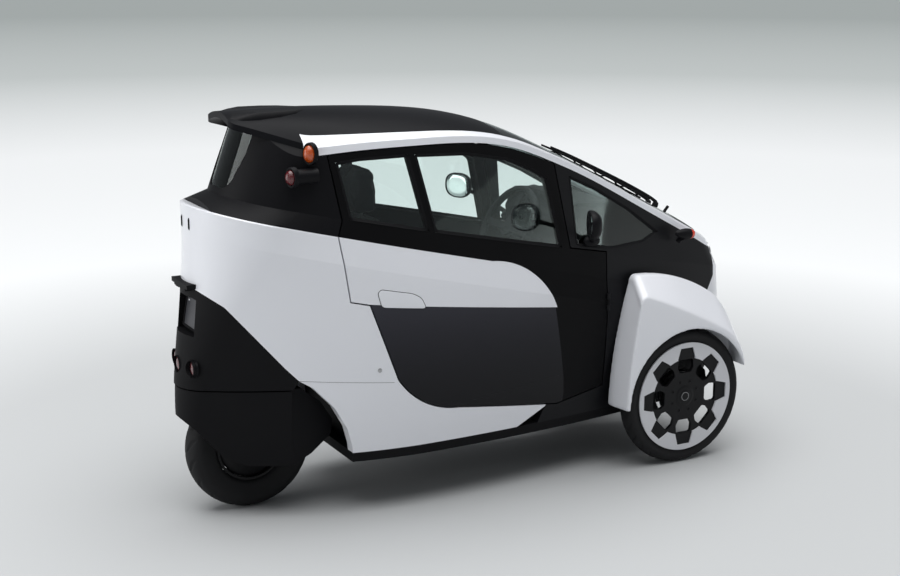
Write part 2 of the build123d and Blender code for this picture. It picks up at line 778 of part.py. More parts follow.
# Steering wheel on its column
tilt = math.radians(column_tilt)
to_driver = (-math.cos(tilt), 0, math.sin(tilt))
wheel_hub = Vector(rear_axle_x + wheel_centre_ahead, 0, wheel_centre_z)
wheel_plane = Plane(origin=wheel_hub, x_dir=(0, 1, 0), z_dir=to_driver)
shaft_radius = 10
column_radius = 24
column_gap = 34
column_length = 230
shaft_depth = 60
with BuildPart() as steering_wheel:
    with BuildSketch(Plane(origin=wheel_hub, x_dir=to_driver, z_dir=(0, 1, 0))):
        with Locations((0, steering_wheel_radius)):
            Circle(steering_rim_radius)
    revolve(axis=Axis(wheel_hub, to_driver))
    with BuildSketch(wheel_plane.offset(-8)):
        Circle(38)
        for turn in (0, 180, 270):
            with Locations(Rotation(0, 0, turn)):
                with Locations((steering_wheel_radius / 2, 0)):
                    Rectangle(steering_wheel_radius, 30)
    extrude(amount=14)
    with BuildSketch(wheel_plane.offset(-column_gap - shaft_depth)):
        Circle(shaft_radius)
    extrude(amount=column_gap + shaft_depth)

# Dashboard and seats
with BuildPart() as dash_panel:
    with BuildSketch(side):
        with BuildLine():
            Polyline((1255, 800), (1225, 990), (1262, 1066), (1480, 1050), (1630, 975), (1660, 800), close=True)
        make_face()
        fillet(vertices(), radius=22)
    extrude(amount=235, both=True)
    add(cabin, mode=Mode.INTERSECT)
    add(screen_underside.moved(Location((0, 0, -14))), mode=Mode.INTERSECT)
with BuildPart() as dashboard:
    add(dash_panel.part)
    with BuildSketch(wheel_plane.offset(-column_gap - column_length)):
        Circle(column_radius)
    extrude(amount=column_length)
    with BuildSketch(wheel_plane.offset(-column_gap - shaft_depth - 4)):
        Circle(shaft_radius + bearing_play)
    extrude(amount=shaft_depth + 10, mode=Mode.SUBTRACT)

seat_seam = 0.3
front_seat_base = floor_top_z + battery_size[2] + seat_seam
with BuildPart() as front_seat:
    with BuildSketch(side):
        with BuildLine():
            Polyline(
                (585, front_seat_base),
                (1000, front_seat_base),
                (1015, front_seat_base + 85),
                (620, front_seat_base + 80),
                (575, 560),
                (505, 1040),
                (485, 1235),
                (405, 1235),
                (400, 1040),
                (470, 520),
                (520, front_seat_base),
                close=True,
            )
        make_face()
        fillet(vertices(), radius=18)
    extrude(amount=205, both=True)
    with BuildSketch(Plane.YZ.offset(rear_axle_x + 300)):
        with BuildLine():
            Polyline(
                (-205, 380), (205, 380), (205, 930), (110, 1080),
                (110, 1240), (-110, 1240), (-110, 1080), (-205, 930), close=True,
            )
        make_face()
    extrude(amount=800, mode=Mode.INTERSECT)

rear_seat_base = arch_top_z + head_height + seat_seam
with BuildPart() as rear_seat:
    with BuildSketch(side):
        with BuildLine():
            Polyline(
                (-120, rear_seat_base),
                (300, rear_seat_base),
                (312, rear_seat_base + 70),
                (10, rear_seat_base + 62),
                (-30, 690),
                (-72, 1060),
                (-140, 1060),
                (-140, 690),
                close=True,
            )
        make_face()
        fillet(vertices(), radius=16)
    extrude(amount=190, both=True)
    add(side_walls(body_wall + 8), mode=Mode.INTERSECT)

# Lamps
lamp_wall = 30
with BuildPart() as lamp_block:
    with Locations((rear_axle_x + 1985, -140, 795)):
        Box(190, 84, 86)
    mirror(about=Plane.XZ)
with BuildPart() as headlamps:
    add(walls)
    add(top, mode=Mode.INTERSECT)
    add(side_walls(lamp_wall), mode=Mode.SUBTRACT)
    add(lamp_block.part, mode=Mode.INTERSECT)
    add(rails.part, mode=Mode.SUBTRACT)
    add(front_sides.part, mode=Mode.SUBTRACT)
with BuildPart() as nose_shell:
    add(nose.part)
    add(lamp_block.part, mode=Mode.SUBTRACT)

pod_radius = 25
with BuildPart() as front_indicators:
    with Locations((rear_axle_x + 1755, -272, 914)):
        Sphere(pod_radius)
        Cylinder(9, 60, rotation=(90, 0, 0), align=(Align.CENTER, Align.CENTER, Align.MAX))
    mirror(about=Plane.XZ)
    add(walls, mode=Mode.SUBTRACT)


rear_lens_radius = 27
with BuildPart() as rear_indicators:
    with Locations((rear_axle_x + rail_rear, -280, 1322)):
        Cylinder(rear_lens_radius, 22, rotation=(0, -90, 0), align=(Align.CENTER, Align.CENTER, Align.MIN))
    mirror(about=Plane.XZ)
    add(roof.part, mode=Mode.SUBTRACT)
    add(rear_quarters.part, mode=Mode.SUBTRACT)

# Red side lamps in tubes on the dark quarters
tube_radius = 27
tube_y = 288
tube_z = 1258
with BuildPart() as tubes:
    with Locations((rear_axle_x + 84, -tube_y, tube_z)):
        Cylinder(tube_radius, 90, rotation=(0, 90, 0), align=(Align.CENTER, Align.CENTER, Align.MIN))
    mirror(about=Plane.XZ)
    add(cabin, mode=Mode.SUBTRACT)
with BuildPart() as side_lamps:
    with Locations((rear_axle_x + 84, -tube_y, tube_z)):
        Cylinder(tube_radius - 2, 18, rotation=(0, -90, 0), align=(Align.CENTER, Align.CENTER, Align.MIN))
    mirror(about=Plane.XZ)
    add(cabin, mode=Mode.SUBTRACT)
with BuildPart() as quarters:
    add(rear_quarters.part)
    add(tubes.part)
    add(side_lamps.part, mode=Mode.SUBTRACT)

# Dark bumper with its plate pocket, lamp holes and shade
plate_size = (6, 150, 108)
plate_z = 750
plate_face_x = rear_axle_x - 185
plate_tilt = 10
pocket_margin = 14
hole_radius = 31
hole_z = 574
lens_thickness = 12
# Round holes in the bumper: place across the car, place of the hole's floor behind the rear axle
tail_holes = [(-91, 216), (0, 238), (91, 216)]
with BuildPart() as plate_block:
    with Locations(Location((plate_face_x, 0, plate_z), (0, plate_tilt, 0))):
        Box(28, plate_size[1] + 4 * pocket_margin, plate_size[2] + 4 * pocket_margin,
            align=(Align.MIN, Align.CENTER, Align.CENTER))
with BuildPart() as bumper:
    add(rear_lower.part)
    add(plate_block.part)
    with Locations(Location((plate_face_x, 0, plate_z), (0, plate_tilt, 0))):
        Box(120, plate_size[1] + 2 * pocket_margin, plate_size[2] + 2 * pocket_margin,
            align=(Align.MAX, Align.CENTER, Align.CENTER), mode=Mode.SUBTRACT)
    with Locations((rear_axle_x - 236, 0, 866)):
        Box(80, 170, 16, align=(Align.MIN, Align.CENTER, Align.CENTER))
    for across, hole_floor in tail_holes:
        with Locations((rear_axle_x - hole_floor, across, hole_z)):
            Cylinder(hole_radius, 84, rotation=(0, -90, 0), align=(Align.CENTER, Align.CENTER, Align.MIN),
                     mode=Mode.SUBTRACT)
    add(rear_body.part, mode=Mode.SUBTRACT)
with BuildPart() as number_plate:
    with Locations(Location((plate_face_x, 0, plate_z), (0, plate_tilt, 0))):
        Box(*plate_size, align=(Align.MAX, Align.CENTER, Align.CENTER))
with BuildPart() as red_lamps:
    add(side_lamps.part)
    for across, hole_floor in tail_holes:
        with Locations((rear_axle_x - hole_floor, across, hole_z)):
            Cylinder(hole_radius, lens_thickness, rotation=(0, -90, 0),
                     align=(Align.CENTER, Align.CENTER, Align.MIN))

# Mirrors on stalks whose feet stand on the doors ahead of the windows
mirror_centre = Vector(rear_axle_x + 1155, -508, 1048)
stalk_foot = Vector(rear_axle_x + 1285, -316, 926)
stalk_radius = 9
stalk_head = mirror_centre + Vector(17, 30, -20)
with BuildPart() as mirror_right:
    with BuildSketch(tail.offset(mirror_centre.X)):
        with Locations((mirror_centre.Y, mirror_centre.Z)):
            RectangleRounded(130, 112, 38)
    extrude(amount=34)
    with BuildSketch(Plane(origin=stalk_foot, z_dir=stalk_head - stalk_foot)):
        Circle(stalk_radius)
    extrude(amount=(stalk_head - stalk_foot).length)
    with Locations(stalk_foot):
        Sphere(13)
        Cylinder(13, 62, align=(Align.CENTER, Align.CENTER, Align.MAX))
    add(walls, mode=Mode.SUBTRACT)

# Wipers parked up the middle of the screen
with BuildPart() as wipers:
    for across in (-34, 34):
        with BuildSketch(side.offset(across - 5)):
            with BuildLine():
                Polyline((1768, 1000), (1772, 1016), (1500, 1148), (1240, 1268), (1232, 1256), (1495, 1132),
                         close=True)
            make_face()
        extrude(amount=10)
    with Locations((rear_axle_x + 1768, 0, 1000)):
        Cylinder(15, 60, align=(Align.CENTER, Align.CENTER, Align.CENTER))
        Box(30, 90, 14)
    add(windscreen.part, mode=Mode.SUBTRACT)
    add(hood.part, mode=Mode.SUBTRACT)

pieces = {
    "rear_body": rear_body,
    "rockers": rockers,
    "bumper": bumper,
    "rear_quarters": quarters,
    "roof": roof,
    "rails": rails,
    "windscreen": windscreen,
    "hood": hood,
    "nose": nose_shell,
    "nose_lower": nose_lower,
    "front_sides": front_sides,
    "fixed_glass": fixed_glass,
    "floor": floor,
    "rear_arch": rear_arch,
    "battery": battery,
    "fenders": fenders,
    "subframe": subframe,
    "arms": arms,
    "uprights": uprights,
    "dashboard": dashboard,
    "steering_wheel": steering_wheel,
    "front_seat": front_seat,
    "rear_seat": rear_seat,
    "headlamps": headlamps,
    "front_indicators": front_indicators,
    "rear_indicators": rear_indicators,
    "red_lamps": red_lamps,
    "number_plate": number_plate,
    "wipers": wipers,
    "rear_fork": rear_fork,
    "rear_cover": rear_cover,
    "tyre_rear": tyre_rear,
    "wheel_rear": wheel_rear,
}
right_pieces = {
    "tyre": tyre_right,
    "wheel": wheel_right,
    "disc": disc_right,
    "door": door_right,
    "stripe": stripe_right,
    "panel": panel_right,
    "window": window_right,
    "mirror": mirror_right,
}
for name, piece in right_pieces.items():
    pieces[name + "_right"] = piece
    with BuildPart() as left_piece:
        add(piece.part)
        mirror(about=Plane.XZ, mode=Mode.REPLACE)
    pieces[name + "_left"] = left_piece

os.makedirs("parts", exist_ok=True)
for name, piece in pieces.items():
    piece.part.label = name
    export_step(piece.part, "parts/" + name + ".step")
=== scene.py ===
import math

import bmesh
import bpy
from mathutils import Matrix, Vector
from mathutils.bvhtree import BVHTree


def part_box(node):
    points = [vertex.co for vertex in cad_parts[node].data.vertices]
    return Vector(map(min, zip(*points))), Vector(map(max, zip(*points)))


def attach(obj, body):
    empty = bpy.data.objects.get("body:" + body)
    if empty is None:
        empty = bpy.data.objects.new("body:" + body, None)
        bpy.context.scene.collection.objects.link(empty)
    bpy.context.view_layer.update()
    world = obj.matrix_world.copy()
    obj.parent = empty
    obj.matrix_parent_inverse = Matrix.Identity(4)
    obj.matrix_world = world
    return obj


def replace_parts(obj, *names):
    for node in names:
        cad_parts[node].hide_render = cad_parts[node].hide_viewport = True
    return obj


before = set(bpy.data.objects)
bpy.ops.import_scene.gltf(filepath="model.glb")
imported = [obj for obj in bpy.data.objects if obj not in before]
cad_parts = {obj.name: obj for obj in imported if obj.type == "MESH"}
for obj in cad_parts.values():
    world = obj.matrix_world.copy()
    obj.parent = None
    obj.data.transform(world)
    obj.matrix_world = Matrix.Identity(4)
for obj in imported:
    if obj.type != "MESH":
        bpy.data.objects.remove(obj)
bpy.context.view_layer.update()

print("frame loaded", len(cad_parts), "nodes")

# places are given in millimetres forward of the rear axle, to the left and up
sideName = {-1: "right", 1: "left"}


def middleOf(node):
    low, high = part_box(node)
    return (low + high) / 2


rearAxle = middleOf("tyre_rear").x


def at(ahead, across, up):
    return Vector((rearAxle + ahead / 1000, across / 1000, up / 1000))


def circle(count):
    # angles spread evenly round a turn
    return [2 * math.pi * step / count for step in range(count)]


def around(hub, angle, radius):
    # a point in a wheel's plane, at a radius in mm from its hub
    return hub + Vector((math.cos(angle), 0, math.sin(angle))) * radius / 1000


def linked(name, data):
    made = bpy.data.objects.new(name, data)
    bpy.context.scene.collection.objects.link(made)
    return made


def bothSides(make):
    return [make(sideSign) for sideSign in sideName]


# a socket wrapped so that shader maths reads as sums
class Signal:
    def __init__(self, finish, socket):
        self.finish = finish
        self.socket = socket

    def sum(self, operation, first, second):
        return self.finish.node("ShaderNodeMath", {"operation": operation}, {0: first, 1: second})

    def __add__(self, other):
        return self.sum("ADD", self, other)

    def __radd__(self, other):
        return self.sum("ADD", other, self)

    def __mul__(self, other):
        return self.sum("MULTIPLY", self, other)


class Finish:
    def __init__(self, name, tree=None):
        if tree is None:
            self.material = bpy.data.materials.new(name)
            self.material.use_nodes = True
            tree = self.material.node_tree
        self.tree = tree
        self.tree.nodes.clear()

    def node(self, kind, settings=None, inputs=None, output=0):
        made = self.tree.nodes.new(kind)
        for key, value in (settings or {}).items():
            if key == "stops":
                for stop, (place, colour) in zip(made.color_ramp.elements, value):
                    stop.position = place
                    stop.color = (*colour, 1)
                for place, colour in value[2:]:
                    made.color_ramp.elements.new(place).color = (*colour, 1)
            else:
                setattr(made, key, value)
        for key, value in (inputs or {}).items():
            if isinstance(value, Signal):
                self.tree.links.new(value.socket, made.inputs[key])
            else:
                made.inputs[key].default_value = value
        return Signal(self, made.outputs[output]) if made.outputs else made

    def place(self):
        return self.node("ShaderNodeTexCoord", output="Object")

    def noise(self, scale, detail=3.0, stretch=None):
        where = self.place()
        if stretch:
            where = self.node("ShaderNodeVectorMath", {"operation": "MULTIPLY"}, {0: where, 1: stretch})
        facts = {"Vector": where, "Scale": scale, "Detail": detail}
        return self.node("ShaderNodeTexNoise", None, facts, "Fac")

    def tint(self, mask, low, high):
        return self.node("ShaderNodeMix", {"data_type": "RGBA"}, {0: mask, 6: (*low, 1), 7: (*high, 1)}, 2)

    def bump(self, height, strength, distance):
        facts = {"Height": height, "Strength": strength, "Distance": distance}
        return self.node("ShaderNodeBump", None, facts)

    def shade(self, inputs):
        shader = self.node("ShaderNodeBsdfPrincipled", None, inputs)
        self.node("ShaderNodeOutputMaterial", None, {"Surface": shader})
        return self.material


# scale, detail and stretch of the noise behind the tone, the roughness and the relief
paint = {"tone": (0.9, 1.0), "sheen": (5.0,), "relief": (160.0, 1.0), "spread": 0.05, "bump": (0.05, 0.0004)}
enamel = {"tone": (9.0,), "sheen": (260.0,), "relief": (260.0,), "spread": 0.12, "bump": (0.2, 0.0005)}
rubber = {"tone": (24.0, 5.0), "sheen": (24.0, 5.0), "relief": (700.0,), "spread": 0.2, "bump": (0.2, 0.0005)}
brushed = {"tone": (60.0, 4.0, (1, 9, 1)), "sheen": (60.0, 4.0, (1, 9, 1)), "relief": (60.0, 4.0, (1, 9, 1)),
           "spread": 0.16, "bump": (0.15, 0.0004)}
silvered = {**brushed, "tone": (60.0, 4.0), "sheen": (60.0, 4.0), "relief": (60.0, 4.0)}


def coated(name, kind, base, second, roughness, specular=0.5, **others):
    finish = Finish(name)
    return finish.shade({
        "Base Color": finish.tint(finish.noise(*kind["tone"]), base, second),
        "Roughness": roughness + finish.noise(*kind["sheen"]) * kind["spread"],
        "Specular IOR Level": specular,
        "Normal": finish.bump(finish.noise(*kind["relief"]), *kind["bump"]),
        **{key.replace("_", " "): value for key, value in others.items()},
    })


def smokedPaintedReflection(name, low, high):
    # dark gloss panel with a painted reflection: its colour grades lighter towards its upper edge, as if
    # reflecting the bright room, and darker low down, as if reflecting the floor's shade
    finish = Finish(name)
    up = finish.node("ShaderNodeSeparateXYZ", None, {0: finish.place()}, "Z")
    # painted reflection: the share of the lighter colour grows with height
    share = finish.node("ShaderNodeMapRange", None, {0: up, 1: 0.30, 2: 0.80})
    return finish.shade({
        "Base Color": finish.tint(share * share, low, high),
        "Roughness": 0.12 + finish.noise(5.0) * 0.05,
        "Specular IOR Level": 0.16,
        "Coat Weight": 0.04,
        "Coat Roughness": 0.03,
        "Normal": finish.bump(finish.noise(160.0, 1.0), 0.05, 0.0004),
    })


def mouldedPlastic(name, base, second, roughness, grain, depth, specular=0.2):
    # moulded plastic with a leathery grain
    finish = Finish(name)
    cells = finish.node("ShaderNodeTexVoronoi", None, {"Vector": finish.place(), "Scale": grain}, "Distance")
    return finish.shade({
        "Base Color": finish.tint(finish.noise(3.0), base, second),
        "Roughness": roughness + cells * 0.1,
        "Specular IOR Level": specular,
        "Normal": finish.bump(cells * 0.7 + finish.noise(grain * 0.6) * 0.3, 0.3, depth),
    })


def windowPane(name, tint, dirt, mirrorTint):
    # tinted pane: clear straight on, with the sharp reflections of glass at a slant
    finish = Finish(name)
    dust = finish.noise(4.0, 3.0)
    slant = finish.node("ShaderNodeFresnel", None, {"IOR": 1.5})
    through = finish.node("ShaderNodeBsdfTransparent", None, {"Color": (*tint, 1)})
    gloss = finish.node("ShaderNodeBsdfPrincipled", None, {
        "Base Color": finish.tint(dust, mirrorTint, dirt), "Metallic": 1.0, "Roughness": dust * 0.03 + 0.01})
    cover = finish.node("ShaderNodeMixShader", None, {0: slant + dust * 0.015, 1: through, 2: gloss})
    finish.node("ShaderNodeOutputMaterial", None, {"Surface": cover})
    return finish.material


def lampLens(name, colour, deep, ribs, glow):
    # coloured lens with moulded ribs
    finish = Finish(name)
    wave = finish.node("ShaderNodeTexWave", {"bands_direction": "Z"},
                       {"Vector": finish.place(), "Scale": ribs, "Distortion": 0.3}, "Fac")
    return finish.shade({
        "Base Color": finish.tint(wave, colour, deep),
        "Roughness": 0.1 + wave * 0.08,
        "Coat Weight": 0.6,
        "Coat Roughness": 0.03,
        "Emission Color": finish.tint(wave, colour, deep),
        "Emission Strength": glow,
        "Normal": finish.bump(wave, 0.4, 0.0010),
    })


def seatCloth(name, base, second, threads):
    # woven cloth: two crossing waves and a fuzzy tone
    finish = Finish(name)
    facts = {"Vector": finish.place(), "Scale": threads}
    warp = finish.node("ShaderNodeTexWave", {"bands_direction": "Y"}, facts, "Fac")
    facts["Distortion"] = 0.5
    weft = finish.node("ShaderNodeTexWave", {"bands_direction": "DIAGONAL"}, facts, "Fac")
    weave = warp * 0.5 + weft * 0.5
    return finish.shade({
        "Base Color": finish.tint(weave * 0.6 + finish.noise(30.0) * 0.4, base, second),
        "Roughness": 0.85 + weave * 0.1,
        "Sheen Weight": 0.25,
        "Normal": finish.bump(weave, 0.6, 0.0008),
    })


pearlWhite = coated("pearl white", paint, (0.735, 0.745, 0.785), (0.715, 0.725, 0.765), 0.28, Coat_Weight=0.4,
                    Coat_Roughness=0.05)
wheelWhite = coated("wheel white", paint, (0.60, 0.605, 0.63), (0.57, 0.575, 0.605), 0.36, Coat_Weight=0.15,
                    Coat_Roughness=0.05)
roofBlack = coated("roof black", paint, (0.0062, 0.0064, 0.0078), (0.0075, 0.0077, 0.0092), 0.32, 0.05)
satinBlack = coated("satin black", paint, (0.0040, 0.0040, 0.0050), (0.0050, 0.0050, 0.0062), 0.44, 0.10)
sideBlack = coated("side black", paint, (0.0056, 0.0058, 0.0070), (0.0066, 0.0068, 0.0082), 0.36, 0.14)
deepBlack = coated("deep black", paint, (0.0028, 0.0028, 0.0032), (0.0036, 0.0036, 0.0042), 0.42, 0.08)
# lower door panels: dark tint with a painted reflection graded into their colour
smokedPanelPaintedReflection = smokedPaintedReflection("smoked panel painted reflection", (0.0045, 0.0045, 0.0058), (0.030, 0.030, 0.040))
grainBlack = mouldedPlastic("grained plastic", (0.0042, 0.0042, 0.005), (0.006, 0.006, 0.007), 0.55, 850.0,
                            0.0004, 0.10)
trimBlack = mouldedPlastic("inner trim", (0.011, 0.011, 0.013), (0.016, 0.016, 0.019), 0.6, 600.0, 0.0005)
darkCase = mouldedPlastic("battery case", (0.05, 0.055, 0.06), (0.07, 0.075, 0.08), 0.5, 300.0, 0.0006)
tyreBlack = coated("tyre rubber", rubber, (0.0065, 0.0065, 0.0072), (0.014, 0.014, 0.015), 0.6, 0.22)
wheelBlack = coated("wheel black", enamel, (0.0045, 0.0045, 0.0052), (0.0062, 0.0062, 0.007), 0.36, 0.18)
chassisBlack = coated("chassis black", enamel, (0.006, 0.006, 0.0066), (0.010, 0.010, 0.011), 0.5, 0.25)
bareSteel = coated("bare steel", brushed, (0.36, 0.36, 0.37), (0.5, 0.5, 0.51), 0.26, Metallic=1.0)
mirrorSilver = coated("mirror silver", silvered, (0.66, 0.72, 0.71), (0.70, 0.75, 0.74), 0.02, Metallic=1.0)
windowGlass = windowPane("window glass", (0.945, 0.985, 0.975), (0.75, 0.8, 0.79), (0.86, 0.9, 0.89))
lampGlass = windowPane("lamp glass", (0.97, 0.98, 0.985), (0.85, 0.86, 0.87), (0.95, 0.95, 0.96))
amberLens = lampLens("amber lens", (0.52, 0.085, 0.006), (0.22, 0.024, 0.003), 70.0, 0.08)
redLens = lampLens("red lens", (0.11, 0.006, 0.009), (0.04, 0.002, 0.004), 70.0, 0.04)
turnRed = lampLens("turn lens", (0.62, 0.05, 0.015), (0.40, 0.02, 0.008), 50.0, 0.12)
plateGrey = coated("plate grey", paint, (0.040, 0.041, 0.048), (0.046, 0.047, 0.055), 0.4, 0.4)
darkCloth = seatCloth("seat cloth", (0.012, 0.012, 0.014), (0.026, 0.026, 0.030), 320.0)
print("finishes made")

# the slot that each finish goes to
slotOf = {
    pearlWhite: "white_paint", satinBlack: "dark_plastic", deepBlack: "dark_plastic",
    grainBlack: "dark_plastic", trimBlack: "dark_plastic", smokedPanelPaintedReflection: "dark_panel",
    tyreBlack: "tyre_rubber", wheelBlack: "wheel_dark", chassisBlack: "running_gear",
    bareSteel: "bare_metal", mirrorSilver: "bare_metal", lampGlass: "clear_lens", amberLens: "amber_lens",
    redLens: "red_lens", turnRed: "red_lens", darkCloth: "seat_cloth",
}
nodeFinishes = {
    pearlWhite: "rear_body rockers rails nose fenders stripe_left stripe_right",
    roofBlack: "roof hood",
    satinBlack: "rear_quarters front_indicators mirror_left mirror_right",
    sideBlack: "front_sides",
    deepBlack: "door_left door_right",
    smokedPanelPaintedReflection: "panel_left panel_right",
    grainBlack: "bumper rear_cover nose_lower floor rear_arch wipers",
    trimBlack: "dashboard steering_wheel",
    darkCase: "battery",
    chassisBlack: "subframe arms uprights rear_fork",
    wheelBlack: "wheel_rear wheel_left wheel_right",
    wheelWhite: "disc_left disc_right",
    tyreBlack: "tyre_rear tyre_left tyre_right",
    windowGlass: "windscreen fixed_glass window_left window_right",
    lampGlass: "headlamps",
    amberLens: "rear_indicators",
    redLens: "red_lamps",
    plateGrey: "number_plate",
    darkCloth: "front_seat rear_seat",
}
for material, names in nodeFinishes.items():
    for name in names.split():
        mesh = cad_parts[name].data
        mesh.materials.clear()
        mesh.materials.append(material)
print("finishes set on", sum(len(names.split()) for names in nodeFinishes.values()), "nodes")


class Mesh:
    # points and faces gathered for one piece from rings, lathes, tubes and patches
    def __init__(self):
        self.points = []
        self.faces = []

    def rings(self, rings, closed=True, caps=True, loop=False):
        start = len(self.points)
        count = len(rings[0])
        for ring in rings:
            self.points.extend(ring)
        rows = len(rings) if loop else len(rings) - 1
        for row in range(rows):
            below = start + row * count
            above = start + (row + 1) % len(rings) * count
            for step in range(count if closed else count - 1):
                after = (step + 1) % count
                self.faces.append((below + step, below + after, above + after, above + step))
        if caps and closed and not loop:
            self.faces.append(tuple(range(start + count - 1, start - 1, -1)))
            last = start + (len(rings) - 1) * count
            self.faces.append(tuple(range(last, last + count)))
        return self

    def lathe(self, centre, axis, profile, turns=32, squeeze=1.0, caps=True, upright=None):
        # rings about an axis, from pairs of a place along it and a radius, in mm
        axis = Vector(axis).normalized()
        across = axis.cross(Vector(upright or (0, 0, 1))).normalized()
        other = across.cross(axis)
        rings = []
        for along, radius in profile:
            rings.append([
                centre + axis * along / 1000
                + (across * math.cos(turn) * squeeze + other * math.sin(turn)) * radius / 1000
                for turn in circle(turns)])
        return self.rings(rings, caps=caps)

    def bolts(self, hub, out, radius, angles, profile, turns):
        for angle in angles:
            self.lathe(around(hub, angle, radius), out, profile, turns)

    def tube(self, stops, radius, sides=12, steps=5, flat=1.0):
        # a rod along a smooth line through the stops; radius may be one value or one for each stop
        line = smoothLine(stops, steps)
        radii = [radius] * len(stops) if isinstance(radius, (int, float)) else radius
        sizes = [value[0] for value in smoothLine([(value,) for value in radii], steps)]
        rings = []
        for index, point in enumerate(line):
            point = Vector(point)
            ahead = Vector(line[min(index + 1, len(line) - 1)]) - Vector(line[max(index - 1, 0)])
            across = ahead.cross(Vector((0.31, 0.27, 0.91))).normalized()
            other = ahead.normalized().cross(across)
            rings.append([
                point + (across * math.cos(turn) * flat + other * math.sin(turn)) * sizes[index] / 1000
                for turn in circle(sides)])
        return self.rings(rings)

    def box(self, centre, size, turn=None):
        # a block with small bevels, from eight corner rings
        half = Vector(size) / 2000
        bevel = min(half) * 0.35
        rings = []
        for up, inset in ((-half.z, bevel), (-half.z + bevel, 0), (half.z - bevel, 0), (half.z, bevel)):
            ring = []
            for x, y in ((1, 1), (-1, 1), (-1, -1), (1, -1)):
                wide, deep = half.x - inset, half.y - inset
                first = Vector((x * wide, y * (deep - bevel), up))
                second = Vector((x * (wide - bevel), y * deep, up))
                ring.extend([first, second] if x == y else [second, first])
            rings.append([centre + (turn @ point if turn else point) for point in ring])
        return self.rings(rings)

    def band(self, sideSign, outline, levels):
        # a raised band on a side surface: the outline moved outwards, each time with a lift
        rings = []
        for grow, lift in levels:
            ring = []
            for point in grown(outline, grow):
                found = onSide(sideSign, point, lift)
                if found is None:
                    found = ring[-1] if ring else onSide(sideSign, outline[0], lift)
                ring.append(found)
            rings.append(ring)
        return self.rings(rings, caps=False)

    def patch(self, sideSign, outline, levels):
        # a patch laid on a side surface: the outline drawn in to each share of its size, with a lift
        middle = sum(outline, Vector((0, 0))) / len(outline)
        self.rings([[onSide(sideSign, middle.lerp(point, share), lift) for point in outline]
                    for share, lift in levels], caps=False)
        self.faces.append(tuple(range(len(self.points) - len(outline), len(self.points))))
        return self

    def make(self, name, material, body="chassis", smooth=True, angle=None, slotName=None):
        mesh = bpy.data.meshes.new(name)
        mesh.from_pydata([tuple(point) for point in self.points], [], self.faces)
        mesh.validate()
        mesh.materials.append(material)
        if smooth:
            mesh.shade_smooth()
        piece = linked(name, mesh)
        slotName = slotName or slotOf[material]
        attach(piece, body)
        edit = bmesh.new()
        edit.from_mesh(piece.data)
        bmesh.ops.recalc_face_normals(edit, faces=edit.faces)
        if angle:
            for edge in edit.edges:
                edge.smooth = edge.calc_face_angle(0.0) < math.radians(angle)
        edit.to_mesh(piece.data)
        edit.free()
        return piece


def smoothLine(stops, steps):
    # points along a smooth line through the stops
    line = []
    for index in range(len(stops) - 1):
        before = stops[max(index - 1, 0)]
        start, end = stops[index], stops[index + 1]
        after = stops[min(index + 2, len(stops) - 1)]
        for step in range(steps):
            t = step / steps
            line.append(tuple(
                0.5 * (2 * b + (c - a) * t + (2 * a - 5 * b + 4 * c - d) * t * t
                       + (3 * b - a - 3 * c + d) * t ** 3)
                for a, b, c, d in zip(before, start, end, after)))
    line.append(tuple(stops[-1]))
    return line


def roundedLine(corners, radius, steps=5):
    # a closed outline with rounded corners, as (ahead, up) pairs
    line = []
    count = len(corners)
    for index in range(count):
        corner = Vector(corners[index])
        back = Vector(corners[index - 1]) - corner
        front = Vector(corners[(index + 1) % count]) - corner
        reach = min(radius, back.length * 0.45, front.length * 0.45)
        start, end = corner + back.normalized() * reach, corner + front.normalized() * reach
        for step in range(steps + 1):
            t = step / steps
            line.append(start * (1 - t) ** 2 + corner * 2 * t * (1 - t) + end * t * t)
    return line


def subdivided(line, longest):
    # more points on the long runs of a closed outline
    dense = []
    for index, point in enumerate(line):
        following = line[(index + 1) % len(line)]
        count = max(1, math.ceil((following - point).length / longest))
        dense.extend(point.lerp(following, step / count) for step in range(count))
    return dense


def surfaceOf(*names):
    points, faces = [], []
    for name in names:
        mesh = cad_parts[name].data
        start = len(points)
        points.extend(vertex.co.copy() for vertex in mesh.vertices)
        faces.extend([start + index for index in polygon.vertices] for polygon in mesh.polygons)
    return BVHTree.FromPolygons(points, faces)


sides = {sideSign: surfaceOf(
    "door_" + side, "stripe_" + side, "panel_" + side, "window_" + side, "fixed_glass", "front_sides",
    "rear_quarters", "rails", "rear_body", "rockers", "roof") for sideSign, side in sideName.items()}


def onSide(sideSign, spot, lift):
    # the point of a side surface at (ahead, up), raised by the lift in mm
    hit, normal, face, reach = sides[sideSign].ray_cast(at(spot[0], sideSign * 800, spot[1]),
                                                        Vector((0, -sideSign, 0)))
    if hit is None:
        return None
    return hit + (normal if normal.y * sideSign > 0 else -normal) * lift / 1000


def grown(outline, amount):
    # a closed outline moved outwards by an amount
    middle = sum(outline, Vector((0, 0))) / len(outline)
    moved = []
    for index, point in enumerate(outline):
        ahead = outline[(index + 1) % len(outline)] - outline[index - 1]
        outward = Vector((ahead.y, -ahead.x)).normalized() if ahead.length else Vector((0, 0))
        if outward.dot(point - middle) < 0:
            outward = -outward
        moved.append(point + outward * amount)
    return moved


# tyres with their tread, in place of the plain ones
tyres = {
    "front": {"section": [(0.61, 0.02), (0.72, 0.10), (0.80, 0.26), (0.90, 0.46), (0.95, 0.64), (0.86, 0.79),
                          (0.68, 0.89), (0.45, 0.955), (0.22, 0.99), (0.0, 1.0)],
              "bead": 203, "grooveDepth": 3.2, "grooves": 30, "sweep": 0.30, "turns": 480, "half": 41},
    "rear": {"section": [(0.61, 0.02), (0.76, 0.10), (0.86, 0.26), (0.95, 0.46), (0.99, 0.62), (0.92, 0.77),
                         (0.76, 0.88), (0.50, 0.955), (0.25, 0.99), (0.0, 1.0)],
             "bead": 130, "grooveDepth": 4.2, "grooves": 18, "sweep": 0.42, "turns": 396, "half": 59},
}


